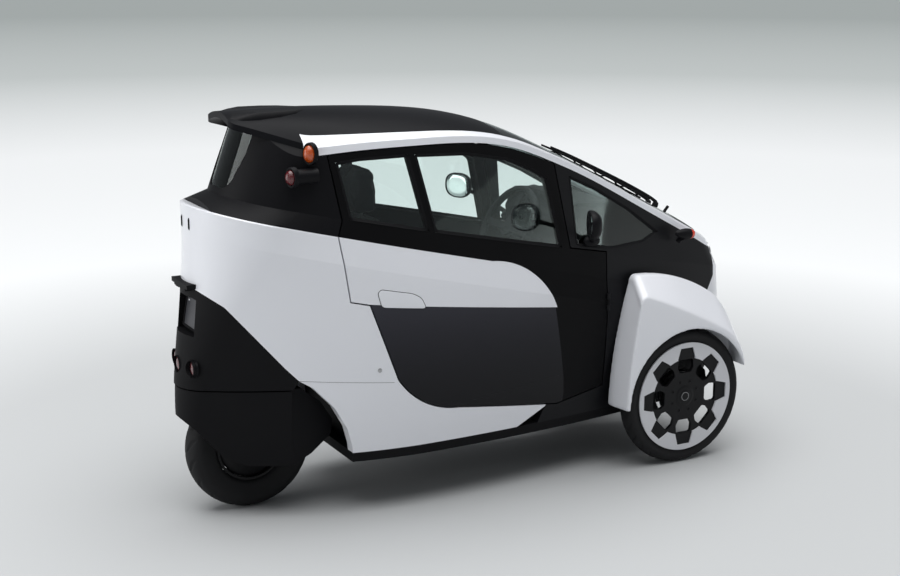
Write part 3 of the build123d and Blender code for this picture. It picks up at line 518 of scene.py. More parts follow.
def treadDepth(share, turn, facts):
    # slanted grooves from near the centre line out to the shoulder, alternating from side to side
    reach = abs(share)
    if not 0.12 < reach < 0.86:
        return 0.0
    pitch = 1.0 / facts["grooves"]
    lean = facts["sweep"] * reach * pitch * 2.2
    phase = (turn + lean + (0.5 * pitch if share > 0 else 0.0)) % pitch / pitch
    wide = 0.13 * math.sin(math.pi * (reach - 0.12) / 0.74) + 0.03
    near = min(phase, 1 - phase)
    return facts["grooveDepth"] * max(0.0, min(1.0, (wide - near) / 0.04))


def makeTyre(node, body, facts):
    low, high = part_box(node)
    centre = (low + high) / 2
    radius = (high.z - low.z) * 500
    bead, half = facts["bead"], facts["half"]
    outer = smoothLine(facts["section"], 4)
    section = outer + [(-across, up) for across, up in reversed(outer[:-1])]
    rings = []
    for index, angle in enumerate(circle(facts["turns"])):
        ring = []
        for across, up in section:
            depth = treadDepth(across, index / facts["turns"], facts) if up > 0.7 else 0.0
            ridge = 0.9 if 0.30 < up < 0.33 else 0.0
            reach = (bead + up * (radius - bead) - depth + ridge) / 1000
            ring.append(Vector((centre.x + reach * math.cos(angle), centre.y + across * half / 1000,
                                centre.z + reach * math.sin(angle))))
        rings.append(ring)
    piece = Mesh().rings(rings, loop=True).make("tread_" + node, tyreBlack, body)
    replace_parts(piece, node)


for side in sideName.values():
    makeTyre("tyre_" + side, "front_wheel_" + side, tyres["front"])
makeTyre("tyre_rear", "rear_wheel", tyres["rear"])
print("tyres made")


# front wheel dress: a bare cap with bolts and a thin ring, a brake disc and the rim's edge
wheelDress = {
    "face": 384, "boltRadius": 62, "boltCount": 8,
    "cap": [(-4, 46), (0, 46), (2.2, 42), (2.6, 30), (3.2, 26), (4.6, 24), (5.4, 18), (5.8, 8), (5.9, 1)],
    "bolt": [(-2, 7), (1.2, 7), (2.4, 5.6), (2.6, 3.2), (1.0, 2.6), (1.0, 0.5)],
    "ring": [(0, 17.6), (1.2, 17.2), (1.2, 15.8), (0, 15.4)], "ringOut": 4.6,
    "brake": [(0, 40), (0, 92), (4, 92), (4, 40)], "brakeIn": 12, "hole": [(3.6, 4), (4.4, 3.4), (4.4, 2.2)],
    "holeCount": 24, "holeRadius": 58, "holeStep": 12,
    "rim": [(0, 203), (3, 207), (6, 207.5), (8.4, 204), (7, 199), (0, 198)], "rimOut": 26,
}


def dressFrontWheel(sideSign):
    side = sideName[sideSign]
    body = "front_wheel_" + side
    hub = middleOf("tyre_" + side)
    out = Vector((0, sideSign, 0))
    face = Vector((hub.x, sideSign * wheelDress["face"] / 1000, hub.z))
    cap = Mesh().lathe(face, out, wheelDress["cap"], 48)
    count = wheelDress["boltCount"]
    cap.bolts(face, out, wheelDress["boltRadius"], [angle + math.pi / count for angle in circle(count)],
              wheelDress["bolt"], 12)
    cap.make("hub_cap_" + side, wheelBlack, body, angle=40)
    ring = Mesh().lathe(face + out * wheelDress["ringOut"] / 1000, out, wheelDress["ring"], 48, caps=False)
    ring.make("cap_ring_" + side, bareSteel, body)
    back = hub - out * wheelDress["brakeIn"] / 1000
    brake = Mesh().lathe(back, out, wheelDress["brake"], 64, caps=False)
    for index, angle in enumerate(circle(wheelDress["holeCount"])):
        radius = wheelDress["holeRadius"] + wheelDress["holeStep"] * (index % 3)
        brake.lathe(around(back, angle, radius), out, wheelDress["hole"], 10)
    brake.make("brake_disc_" + side, bareSteel, body, angle=40)
    rim = Mesh().lathe(hub + out * wheelDress["rimOut"] / 1000, out, wheelDress["rim"], 96, caps=False)
    rim.make("rim_edge_" + side, wheelBlack, body)


bothSides(dressFrontWheel)
print("front wheels dressed")


# rear wheel dress: a drum cover with its bolts on each side
rearDress = {
    "face": 30, "boltRadius": 58, "boltCount": 6, "bolt": [(3, 6), (8, 6), (9.4, 4), (9.4, 1)],
    "cover": [(-16, 40), (-14, 117), (-8, 118.5), (-3, 112), (0, 84), (4, 78), (7, 70), (9, 44), (16, 38),
              (19, 20)],
}


def dressRearWheel():
    dress = Mesh()
    for sideSign in sideName:
        out = Vector((0, sideSign, 0))
        face = middleOf("tyre_rear") + out * rearDress["face"] / 1000
        dress.lathe(face, out, rearDress["cover"], 48)
        dress.bolts(face, out, rearDress["boltRadius"], circle(rearDress["boltCount"]), rearDress["bolt"], 10)
    dress.make("rear_hub_cover", wheelBlack, "rear_wheel", angle=40)


dressRearWheel()
print("rear wheel dressed")


# springs round the front struts
struts = {"ahead": 1700, "across": 280, "low": 375, "high": 545, "coil": 25, "wire": 4.5, "turns": 6,
          "steps": 20, "seat": [(-4, 16), (-4, 31), (0, 33), (4, 31), (4, 16)], "seatGap": 5}


def makeSpring(sideSign):
    count = struts["turns"] * struts["steps"]
    ahead, across, low, high = struts["ahead"], sideSign * struts["across"], struts["low"], struts["high"]
    stops = []
    for index in range(count + 1):
        turn = 2 * math.pi * index / struts["steps"]
        stops.append(at(ahead + struts["coil"] * math.cos(turn), across + struts["coil"] * math.sin(turn),
                        low + (high - low) * index / count))
    spring = Mesh().tube(stops, struts["wire"], 8, 1)
    for up in (low - struts["seatGap"], high + struts["seatGap"]):
        spring.lathe(at(ahead, across, up), (0, 0, 1), struts["seat"], 32, upright=(1, 0, 0), caps=False)
    spring.make("spring_" + sideName[sideSign], chassisBlack)


bothSides(makeSpring)
print("springs made")


# door mirrors on curved stalks
mirrors = {
    "stalk": [(1290, 312, 930), (1268, 352, 955), (1238, 402, 985), (1204, 452, 1008), (1178, 484, 1018)],
    "radii": [12, 9.5, 8.5, 8.5, 10],
    "head": (1152, 508, 1036), "half": (66, 53), "squareness": 2.5, "turn": 24,
    "rings": [(-3, 0.90), (-5, 0.955), (-2, 0.995), (4, 1.0), (14, 0.97), (25, 0.87), (33, 0.70), (38, 0.45),
              (40, 0.15)],
    "glass": [(-2.6, 0.90), (-3.8, 0.885), (-4.0, 0.60), (-4.0, 0.25), (-4.0, 0.02)],
    "foot": [(-8, 22), (2, 22), (6, 19), (9, 13), (11, 10)],
}


def mirrorRings(centre, forward, across, levels):
    # superellipses: the levels give a place along the axis and a share of the size
    wide, tall = mirrors["half"]
    power = 2 / mirrors["squareness"]
    rings = []
    for along, share in levels:
        ring = []
        for turn in circle(40):
            c, s = math.cos(turn), math.sin(turn)
            ring.append(centre + forward * along / 1000
                        + across * math.copysign(abs(c) ** power, c) * wide * share / 1000
                        + Vector((0, 0, 1)) * math.copysign(abs(s) ** power, s) * tall * share / 1000)
        rings.append(ring)
    return rings


def makeMirror(sideSign):
    side = sideName[sideSign]
    body = "door_" + side
    turn = Matrix.Rotation(math.radians(mirrors["turn"] * sideSign), 3, "Z")
    forward, across = turn @ Vector((1, 0, 0)), turn @ Vector((0, sideSign, 0))
    ahead, out, up = mirrors["head"]
    head = at(ahead, sideSign * out, up)
    stalk = [at(x, sideSign * y, z) for x, y, z in mirrors["stalk"]]
    shell = Mesh().rings(mirrorRings(head, forward, across, mirrors["rings"]))
    shell.tube(stalk, mirrors["radii"], 14)
    shell.lathe(stalk[0], (0.1, sideSign, 0.2), mirrors["foot"], 28, squeeze=1.7)
    made = shell.make("mirror_body_" + side, satinBlack, body, angle=50)
    glass = Mesh().rings(mirrorRings(head, forward, across, mirrors["glass"]), caps=False)
    glass.make("mirror_glass_" + side, mirrorSilver, body)
    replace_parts(made, "mirror_" + side)


bothSides(makeMirror)
print("mirrors made")


# teardrop lamps at the foot of the windscreen
pods = {"centre": (1742, 292, 914), "half": (50, 21, 21), "fall": 6, "splay": 6, "lens": 0.42, "steps": 20}


def makePod(sideSign):
    ahead, out, up = pods["centre"]
    centre = at(ahead, sideSign * out, up)
    tilt = (Matrix.Rotation(math.radians(pods["fall"]), 3, "Y")
            @ Matrix.Rotation(math.radians(-pods["splay"] * sideSign), 3, "Z"))
    long, wide, tall = (value / 1000 for value in pods["half"])
    shellRings, lensRings = [], []
    for step in range(pods["steps"] + 1):
        turn = math.pi * step / pods["steps"]
        along = -math.cos(turn)
        fat = math.sin(turn) ** 0.85 * (1 + 0.22 * along)
        ring = [centre + tilt @ Vector((along * long, math.cos(a) * fat * wide, math.sin(a) * fat * tall))
                for a in circle(28)]
        (shellRings if along < pods["lens"] else lensRings).append(ring)
    shellRings.append(lensRings[0])
    lensRings.insert(0, shellRings[-1])
    shell = Mesh().rings(shellRings)
    shell.tube([centre + tilt @ Vector((-0.004, 0, -tall * 0.5)),
                at(ahead - 6, sideSign * (out - 20), up - 22),
                at(ahead - 8, sideSign * (out - 30), up - 34)], [13, 11, 12], 12)
    made = shell.make("front_pod_" + sideName[sideSign], satinBlack, angle=50)
    Mesh().rings(lensRings).make("front_pod_lens_" + sideName[sideSign], turnRed)
    return made


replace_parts(bothSides(makePod)[0], "front_indicators")
print("front lamps made")


# amber lamps on the rear pillars, red lamps beside them and in the bumper, each with its bezel
sideLamps = {
    "amber": {"centre": (153, 279, 1333), "turn": 28, "wide": 26, "tall": 35, "dome": 23, "bezel": 3,
              "lens": amberLens, "node": "rear_indicators"},
    "side_red": {"centre": (80, 289, 1258), "turn": 16, "wide": 25, "tall": 31, "dome": 23, "bezel": 4,
                 "lens": redLens, "node": "red_lamps"},
}


def makeLamp(name, facts, sideSign):
    # an oval lens dome in a raised bezel, facing backwards
    ahead, out, up = facts["centre"]
    centre = at(ahead, sideSign * out, up)
    turn = math.radians(facts["turn"])
    back = Vector((-math.cos(turn), sideSign * math.sin(turn), 0))
    across = Vector((math.sin(turn), sideSign * math.cos(turn), 0)) * facts["wide"]
    above = Vector((0, 0, 1)) * facts["tall"]

    def ovals(levels):
        return [[centre + back * along / 1000 + (across * math.cos(a) + above * math.sin(a)) * share / 1000
                 for a in circle(40)] for along, share in levels]

    dome = [(facts["dome"] * math.cos(step * math.pi / 16) - 1, 0.86 * math.sin(step * math.pi / 16))
            for step in range(8, 0, -1)]
    lens = Mesh().rings(ovals([(-6, 0.86), *dome, (facts["dome"] - 1, 0.03)]))
    made = lens.make(name + "_lens_" + sideName[sideSign], facts["lens"], angle=50)
    rim = facts["bezel"] / facts["wide"]
    bezel = Mesh().rings(ovals([(-14, 1 + rim), (1, 1 + rim), (4, 1 + rim * 0.6), (4.5, 1), (3, 0.90),
                                (-5, 0.88), (-14, 0.88)]), caps=False)
    bezel.make(name + "_bezel_" + sideName[sideSign], satinBlack, angle=40)
    return made


for name, facts in sideLamps.items():
    made = [makeLamp(name, facts, sideSign) for sideSign in sideName]
    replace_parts(made[0], facts["node"])

# round lamps on the floors of the bumper's holes: each hole's place across and how far back its floor is
tailLamps = {"up": 574, "holes": [(-91, 216), (0, 238), (91, 216)],
             "lens": [(0, 30), (8, 29), (13, 24), (16, 16), (17.5, 8), (18, 1)],
             "bezel": [(0, 30.6), (8, 30.2), (9, 28.4), (10, 30.2), (20, 30.5)]}


def makeTailLamps():
    back = Vector((-1, 0, 0))
    lens, bezel = Mesh(), Mesh()
    for across, floor in tailLamps["holes"]:
        centre = at(-floor, across, tailLamps["up"])
        lens.lathe(centre, back, tailLamps["lens"], 40)
        bezel.lathe(centre, back, tailLamps["bezel"], 40, caps=False)
    lens.make("tail_lenses", redLens)
    bezel.make("tail_bezels", satinBlack, angle=40)


makeTailLamps()
print("rear lamps made")

# fenders with their creases eased, from a finer copy of the plain ones
easing = {"voxel": 0.005, "passes": 14}


def remeshed(piece, modifierType, **settings):
    modifier = piece.modifiers.new("shape", modifierType)
    for key, value in settings.items():
        setattr(modifier, key, value)
    baked = bpy.data.meshes.new_from_object(piece.evaluated_get(bpy.context.evaluated_depsgraph_get()))
    piece.modifiers.remove(modifier)
    piece.data = baked


def makeFenders():
    piece = linked("eased_fenders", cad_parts["fenders"].data.copy())
    remeshed(piece, "REMESH", mode="VOXEL", voxel_size=easing["voxel"])
    remeshed(piece, "SMOOTH", factor=0.5, iterations=easing["passes"])
    piece.data.materials.clear()
    piece.data.materials.append(pearlWhite)
    piece.data.shade_smooth()
    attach(piece, "chassis")
    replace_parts(piece, "fenders")


makeFenders()
print("fenders eased")

# carriers behind the wheels: a ribbed half ring with bolts and a brake caliper, fixed to the upright
carrier = {"from": 5, "to": 215, "inner": 96, "outer": 158, "back": 301, "front": 331, "steps": 30, "rib": 5,
           "boltAngles": range(20, 215, 32), "boltRadius": 127, "boltAcross": 329,
           "bolt": [(-4, 9), (3, 9), (5, 7), (5, 3), (3.5, 2.6), (3.5, 0.6)],
           "padAngles": (150, 178), "padRadius": 82, "padAcross": 326, "pad": (44, 12, 34)}


def makeCarrier(sideSign):
    hub = middleOf("tyre_" + sideName[sideSign])
    inner, outer, back, front = (carrier[key] for key in ("inner", "outer", "back", "front"))
    rings = []
    for step in range(carrier["steps"] + 1):
        angle = math.radians(carrier["from"] + (carrier["to"] - carrier["from"]) * step / carrier["steps"])
        rib = carrier["rib"] if step % 3 == 0 else 0
        section = [(inner, back), (outer + rib, back), (outer + rib, front - 8), (outer - 8, front - rib),
                   (inner + 8, front - rib), (inner, front - 10)]
        rings.append([around(Vector((hub.x, sideSign * across / 1000, hub.z)), angle, reach)
                      for reach, across in section])
    housing = Mesh().rings(rings)
    boltFace = Vector((hub.x, sideSign * carrier["boltAcross"] / 1000, hub.z))
    housing.bolts(boltFace, (0, sideSign, 0), carrier["boltRadius"],
                  [math.radians(angle) for angle in carrier["boltAngles"]], carrier["bolt"], 14)
    padFace = Vector((hub.x, sideSign * carrier["padAcross"] / 1000, hub.z))
    for angle in carrier["padAngles"]:
        housing.box(around(padFace, math.radians(angle), carrier["padRadius"]), carrier["pad"],
                    Matrix.Rotation(math.radians(-angle), 3, "Y"))
    housing.make("wheel_carrier_" + sideName[sideSign], chassisBlack, angle=35)


bothSides(makeCarrier)
print("carriers made")

# number plate frame with two bolts, and the light bar over it
plate = {"ahead": -185, "up": 750, "tilt": 10, "size": (150, 108), "edge": 5, "corner": 7,
         "boltAcross": 50, "boltUp": 40,
         "bolt": [(0, 5), (1.4, 5), (2.6, 3.8), (3, 1.6), (2.2, 1.2), (2.2, 0.4)],
         "bar": (-222, 0, 854), "barSize": (26, 120, 9), "lamp": (-224, 36, 849), "lampSize": (18, 34, 5)}


def makePlateDress():
    turn = Matrix.Rotation(math.radians(plate["tilt"]), 3, "Y")
    centre = at(plate["ahead"], 0, plate["up"])
    wide, tall = plate["size"]
    edge = plate["edge"]

    def spot(back, across, up):
        return centre + turn @ (Vector((-back, across, up)) / 1000)

    outline = roundedLine([(wide / 2, tall / 2), (-wide / 2, tall / 2), (-wide / 2, -tall / 2),
                           (wide / 2, -tall / 2)], plate["corner"])
    levels = ((1, edge), (8.5, edge), (10, edge - 2), (9.5, -2), (6.5, -4))
    border = Mesh().rings([[spot(back, p.x * (1 + 2 * grow / wide), p.y * (1 + 2 * grow / tall))
                            for p in outline] for back, grow in levels], caps=False)
    border.make("plate_frame", grainBlack, angle=40)
    bolts, bar = Mesh(), Mesh()
    bar.box(at(*plate["bar"]), plate["barSize"])
    ahead, out, up = plate["lamp"]
    for sideSign in sideName:
        bolts.lathe(spot(6, sideSign * plate["boltAcross"], plate["boltUp"]), turn @ Vector((-1, 0, 0)),
                    plate["bolt"], 20)
        bar.box(at(ahead, sideSign * out, up), plate["lampSize"])
    bolts.make("plate_bolts", bareSteel, angle=40)
    bar.make("plate_lamp", grainBlack, smooth=False)


makePlateDress()
print("number plate dressed")

# things laid on the sides: the handle flap, window seals and a round plug
handle = [(388, 782), (373, 835), (384, 846), (504, 821), (537, 802), (556, 763)]
panes = {
    "rear_pane": [(284, 1099), (246, 1297), (332, 1308), (512, 1312), (580, 1036)],
    "front_pane": [(604, 1031), (536, 1310), (748, 1303), (925, 1270), (1057, 1209), (1090, 1186),
                   (1152, 919)],
    "quarter_pane": [(1192, 1186), (1222, 918), (1400, 886), (1560, 892), (1640, 925), (1480, 1037),
                     (1321, 1128)],
}
trim = {"corner": 14, "seal": [(1.5, -0.5), (0.5, 1.6), (-4.5, 2.0), (-9, 0.9), (-10, -0.6)],
        "flap": [(1.0, -1.0), (1.0, 1.4), (0.975, 2.2), (0.9, 2.4), (0.55, 2.5)],
        "gap": [(2.6, 0.25), (0.3, 0.25)],
        "plugPlace": (383, 549), "plug": [(-2, 8), (1.2, 8), (2.2, 6.6), (2.4, 4), (1.6, 3), (1.6, 0.6)]}
def dressSide(sideSign):
    side = sideName[sideSign]
    flap = subdivided(roundedLine(handle, trim["corner"]), 14)
    lid = Mesh().patch(sideSign, flap, trim["flap"])
    lid.make("handle_flap_" + side, pearlWhite, "door_" + side, angle=35)
    Mesh().band(sideSign, flap, trim["gap"]).make("handle_gap_" + side, deepBlack, "door_" + side)
    for name, pane in panes.items():
        body = "chassis" if name == "quarter_pane" else "door_" + side
        outline = subdivided(roundedLine(pane, trim["corner"]), 16)
        Mesh().band(sideSign, outline, trim["seal"]).make(name + "_seal_" + side, grainBlack, body, angle=50)
    spot = onSide(sideSign, trim["plugPlace"], 0)
    Mesh().lathe(spot, (0, sideSign, 0), trim["plug"], 24).make("side_plug_" + side, bareSteel, angle=40)


bothSides(dressSide)

# the thin seam over each rocker, and the two slots in the tail
seam = {"stops": [(104, 528.8), (200, 519.9), (300, 510.5), (400, 501.2), (446, 496.9)], "wide": 1.1,
        "lift": 0.35}
slots = {"across": 38, "low": 1059, "high": 1103, "radii": [1.0, 4.2, 4.2, 4.2, 4.2, 4.2, 1.0]}


def makeSeams():
    strip, slot = Mesh(), Mesh()
    tail = surfaceOf("rear_body")
    line = [Vector(stop) for stop in seam["stops"]]
    dense = [start.lerp(end, step / 6) for start, end in zip(line, line[1:]) for step in range(6)]
    for sideSign in sideName:
        strip.rings([[onSide(sideSign, point + Vector((0, share * seam["wide"])), seam["lift"])
                      for point in dense] for share in (-0.5, 0.5)], closed=False, caps=False)
        rise = (slots["high"] - slots["low"]) / 6
        starts = [at(-500, sideSign * slots["across"], slots["low"] + rise * step) for step in range(7)]
        slot.tube([tail.ray_cast(start, Vector((1, 0, 0)))[0] for start in starts], slots["radii"], 10, 3)
    strip.make("rocker_seams", deepBlack)
    slot.make("tail_slots", deepBlack)


makeSeams()
print("sides dressed")

# wipers: two arms up the middle of the screen, each with its blade on a linkage, and a washer jet
wiper = {"across": 34, "line": [1782, 1736, 1638, 1524, 1361, 1262], "spread": [0.75, 0.9, 1, 1, 1, 1],
         "lifts": [20, 26, 30, 30, 26, 20], "radii": [8, 7, 6, 5.2, 4.6, 4.0],
         "blade": range(1700, 1250, -50), "bladeSpread": 1.12, "bladeLift": 6, "lip": 2.2,
         "links": (1640, 1540, 1440, 1340),
         "link": [(-46, 1.12, 6), (-20, 1.1, 18), (20, 1.1, 18), (46, 1.12, 6)],
         "pivot": [(-24, 13), (8, 13), (14, 11), (18, 8), (19, 3)], "pivotAxis": (0.45, 0, 0.9),
         "pivotLift": 4,
         "jet": [(1842, 0, 926), (1852, 0, 946), (1871, 0, 968)], "jetRadii": [7, 6.5, 6]}


def makeWipers():
    made = Mesh()
    screen = surfaceOf("windscreen", "hood")
    for sideSign in sideName:

        def above(ahead, spread, lift):
            start = at(ahead, sideSign * wiper["across"] * spread, 1600)
            hit, normal, face, reach = screen.ray_cast(start, Vector((0, 0, -1)))
            return hit + (normal if normal.z > 0 else -normal) * lift / 1000

        made.tube([above(*stop) for stop in zip(wiper["line"], wiper["spread"], wiper["lifts"])],
                  wiper["radii"], 10, flat=0.6)
        spread = wiper["bladeSpread"]
        made.tube([above(ahead, spread, wiper["bladeLift"]) for ahead in wiper["blade"]], 3.2, 8, 3, flat=0.7)
        made.tube([above(ahead, spread, wiper["lip"]) for ahead in wiper["blade"]], 2.4, 6, 3)
        for ahead in wiper["links"]:
            made.tube([above(ahead + step, wide, lift) for step, wide, lift in wiper["link"]], 3.0, 8, 3)
        pivot = above(wiper["line"][0], wiper["spread"][0], wiper["pivotLift"])
        made.lathe(pivot, wiper["pivotAxis"], wiper["pivot"], 24)
    made.tube([at(*stop) for stop in wiper["jet"]], wiper["jetRadii"], 12)
    piece = made.make("wiper_set", grainBlack, angle=45)
    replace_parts(piece, "wipers")


makeWipers()
print("wipers made")

# raised blister on the roof tail, flat on top: stations of place, half width and share of the rise
blister = {"top": 1463.6, "stations": [
    (-64, 84, 0.02), (-52, 96, 0.14), (-30, 104, 0.42), (0, 108, 0.75), (40, 110, 1.0), (120, 106, 1.0),
    (180, 92, 0.9), (222, 62, 0.55), (240, 30, 0.15)],
    "section": [(-1.09, 0.0, 0.0), (-1.02, 0.82, 1.2), (-0.97, 1.0, 0.0), (-0.5, 1.0, 0.0), (0.0, 1.0, 0.0),
                (0.5, 1.0, 0.0), (0.97, 1.0, 0.0), (1.02, 0.82, 1.2), (1.09, 0.0, 0.0)]}


def makeBlister():
    # the section gives a share of the half width, a share of the height over the roof, and a drop
    roof = surfaceOf("roof")
    rings = []
    for ahead, half, rise in blister["stations"]:
        ring, under = [], []
        for share, lift, drop in blister["section"]:
            hit = roof.ray_cast(at(ahead, half * share, 1700), Vector((0, 0, -1)))[0]
            height = max(0.0, (blister["top"] - drop) / 1000 - hit.z) * lift * rise
            ring.append(Vector((hit.x, hit.y, hit.z - 0.001 + height)))
            under.append(Vector((hit.x, hit.y, hit.z - 0.004)))
        rings.append(ring + under[::-1])
    Mesh().rings(rings).make("roof_blister", satinBlack, angle=30, slotName="dark_paint")


makeBlister()
print("roof blister made")

# headlamp inner parts: a bowl, a projector lens and its ring
headlamp = {"centre": (1928, 140, 795), "splay": 0.12,
            "bowl": [(-8, 8), (-6, 24), (6, 33), (20, 37), (36, 38), (36, 40), (18, 40), (2, 36), (-12, 20)],
            "eye": [(8, 24), (14, 24), (22, 21), (28, 15), (31, 8), (32, 0.6)],
            "ring": [(6, 24), (14, 26), (17, 27), (18, 25.5), (15, 24)]}


def makeHeadlamp(sideSign):
    ahead, out, up = headlamp["centre"]
    centre = at(ahead, sideSign * out, up)
    axis = Vector((1, sideSign * headlamp["splay"], 0))
    for part, finish in (("bowl", bareSteel), ("eye", lampGlass), ("ring", satinBlack)):
        made = Mesh().lathe(centre, axis, headlamp[part], 40, caps=part == "eye")
        made.make("lamp_" + part + "_" + sideName[sideSign], finish, angle=None if part == "eye" else 40)


bothSides(makeHeadlamp)
print("headlamps made")

# instrument pod on the dash with a screen, and three switches beside it
dash = {"pod": (1262, 0, 1052), "podSize": (46, 190, 78), "lean": 14, "screenSize": (3, 160, 56),
        "screenOut": 24.2, "switches": (110, 150, 190), "switchPlace": (1228, 960),
        "switch": [(0, 9), (5, 9), (6.5, 7), (6.8, 2)]}


def makeDashDress():
    turn = Matrix.Rotation(math.radians(-dash["lean"]), 3, "Y")
    centre = at(*dash["pod"])
    pod = Mesh().box(centre, dash["podSize"], turn)
    pod.make("instrument_pod", trimBlack, smooth=False)
    face = centre + turn @ Vector((-dash["screenOut"] / 1000, 0, 0))
    screen = Mesh().box(face, dash["screenSize"], turn)
    # the screen takes the panel finish, whose colour holds a painted reflection
    screen.make("instrument_screen", smokedPanelPaintedReflection, smooth=False)
    keys = Mesh()
    ahead, up = dash["switchPlace"]
    for across in dash["switches"]:
        keys.lathe(at(ahead, across, up), (-1, 0, 0.12), dash["switch"], 20)
    keys.make("dash_switches", grainBlack, angle=40)


makeDashDress()
print("dash dressed")

# seats: cushions as soft bodies, each from a slightly smaller form that is blown up between its sewn lines;
# the rows of a form give height, rear, front and half width
cushions = {
    "front_base": {"node": "front_seat", "corner": 46, "seams": ("x", [0.70, 0.86, 0.98]), "swell": 22,
                   "rows": [
        (393, 612, 992, 182), (400, 600, 1004, 192), (440, 598, 1006, 194), (462, 602, 1002, 190),
        (469, 622, 984, 172)]},
    "front_back": {"node": None, "corner": 34, "seams": ("z", [0.62, 0.76, 0.90]), "swell": 20, "rows": [
        (470, 478, 584, 150), (490, 462, 590, 182), (560, 455, 572, 190), (760, 425, 545, 190),
        (920, 408, 520, 186), (1000, 402, 508, 160), (1040, 402, 500, 130), (1052, 412, 490, 112)]},
    "front_head": {"node": None, "corner": 30, "seams": None, "swell": 14, "rows": [
        (1070, 420, 486, 72), (1080, 408, 498, 90), (1150, 406, 496, 98), (1215, 408, 488, 92),
        (1232, 420, 476, 74)]},
    "rear_base": {"node": "rear_seat", "corner": 40, "seams": ("x", [0.06, 0.16]), "swell": 18, "rows": [
        (588, -16, 296, 160), (596, -26, 304, 172), (630, -26, 306, 174), (642, -20, 300, 168),
        (650, 0, 280, 150)]},
    "rear_back": {"node": None, "corner": 26, "seams": ("z", [0.80, 0.93]), "swell": 18, "rows": [
        (664, -112, -44, 138), (676, -126, -38, 150), (780, -132, -44, 150), (900, -134, -56, 142),
        (1000, -134, -66, 128), (1040, -132, -74, 112), (1052, -124, -86, 94)]},
}
clothFacts = {"voxel": 0.006, "frames": 20, "seamReach": 0.0042, "firmFoot": 0.012, "lengthwise": 0.62,
              "cloth": {
    "quality": 4, "mass": 0.3, "tension_stiffness": 12, "compression_stiffness": 12, "shear_stiffness": 5,
    "bending_stiffness": 0.6, "use_pressure": True, "uniform_pressure_force": 4.0}}


def cushionRows(rows, corner):
    rings = []
    for up, rear, front, half in rows:
        reach = min(corner, (front - rear) * 0.46, half * 0.9)
        outline = roundedLine([(front, half), (rear, half), (rear, -half), (front, -half)], reach, 6)
        rings.append([at(point.x, point.y, up) for point in outline])
    return rings


def sewnLines(piece, facts, low, high):
    # the foot and the seams stay where they are
    held = piece.vertex_groups.new(name="sewn")
    reach = clothFacts["seamReach"]
    lines = facts["seams"]
    for vertex in piece.data.vertices:
        place = vertex.co
        firm = place.z - low.z < clothFacts["firmFoot"]
        if lines:
            axis, spots = lines
            where = place.x - rearAxle if axis == "x" else place.z
            firm = firm or any(abs(where - spot) < reach for spot in spots)
            firm = firm or abs(abs(place.y) - high.y * clothFacts["lengthwise"]) < reach
        if firm:
            held.add([vertex.index], 1.0, "REPLACE")
    return held


def swellUp(piece, held, limit):
    # cloth with pressure, then no point further than the limit from where it began
    start = [vertex.co.copy() for vertex in piece.data.vertices]
    cloth = piece.modifiers.new("cloth", "CLOTH")
    settings = cloth.settings
    for key, value in clothFacts["cloth"].items():
        setattr(settings, key, value)
    settings.effector_weights.gravity = 0.0
    settings.vertex_group_mass = held.name
    cloth.collision_settings.use_collision = False
    cloth.collision_settings.use_self_collision = False
    cloth.point_cache.frame_start = 1
    cloth.point_cache.frame_end = clothFacts["frames"]
    for frameNumber in range(1, clothFacts["frames"] + 1):
        bpy.context.scene.frame_set(frameNumber)
    baked = piece.evaluated_get(bpy.context.evaluated_depsgraph_get()).to_mesh()
    moved = [vertex.co.copy() for vertex in baked.vertices]
    piece.modifiers.remove(cloth)
    for vertex, first, last in zip(piece.data.vertices, start, moved):
        step = last - first
        vertex.co = first + step * min(1.0, limit / 1000 / max(step.length, 1e-9))
    bpy.context.scene.frame_set(1)


def makeCushion(name, facts):
    form = Mesh().rings(cushionRows(facts["rows"], facts["corner"]))
    piece = form.make("seat_" + name, darkCloth)
    remeshed(piece, "REMESH", mode="VOXEL", voxel_size=clothFacts["voxel"])
    low = Vector([min(vertex.co[axis] for vertex in piece.data.vertices) for axis in range(3)])
    high = Vector([max(vertex.co[axis] for vertex in piece.data.vertices) for axis in range(3)])
    swellUp(piece, sewnLines(piece, facts, low, high), facts["swell"])
    remeshed(piece, "SUBSURF", levels=1)
    piece.data.shade_smooth()
    if facts["node"]:
        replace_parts(piece, facts["node"])
    return piece


def addPiping(name, piece, rows):
    # a welt round a cushion, drawn onto its surface
    surface = BVHTree.FromPolygons([vertex.co for vertex in piece.data.vertices],
                                   [polygon.vertices for polygon in piece.data.polygons])
    rear, front, half = min(row[1] for row in rows), max(row[2] for row in rows), max(row[3] for row in rows)
    outline = subdivided(roundedLine([(front, half), (rear, half), (rear, -half), (front, -half)], 46, 6), 26)
    stops = [surface.find_nearest(at(point.x, point.y, rows[3][0]))[0] for point in outline]
    rings = []
    for index, point in enumerate(stops):
        ahead = (stops[(index + 1) % len(stops)] - stops[index - 1]).normalized()
        across = ahead.cross(Vector((0, 0, 1))).normalized()
        other = across.cross(ahead)
        rings.append([point + (across * math.cos(a) + other * math.sin(a)) * 0.0032 for a in circle(8)])
    Mesh().rings(rings, loop=True).make(name, trimBlack, slotName="seat_cloth")


for name, facts in cushions.items():
    piece = makeCushion(name, facts)
    if name.endswith("base"):
        addPiping("seat_welt_" + name, piece, facts["rows"])
    print("cushion", name, len(piece.data.vertices), "points")

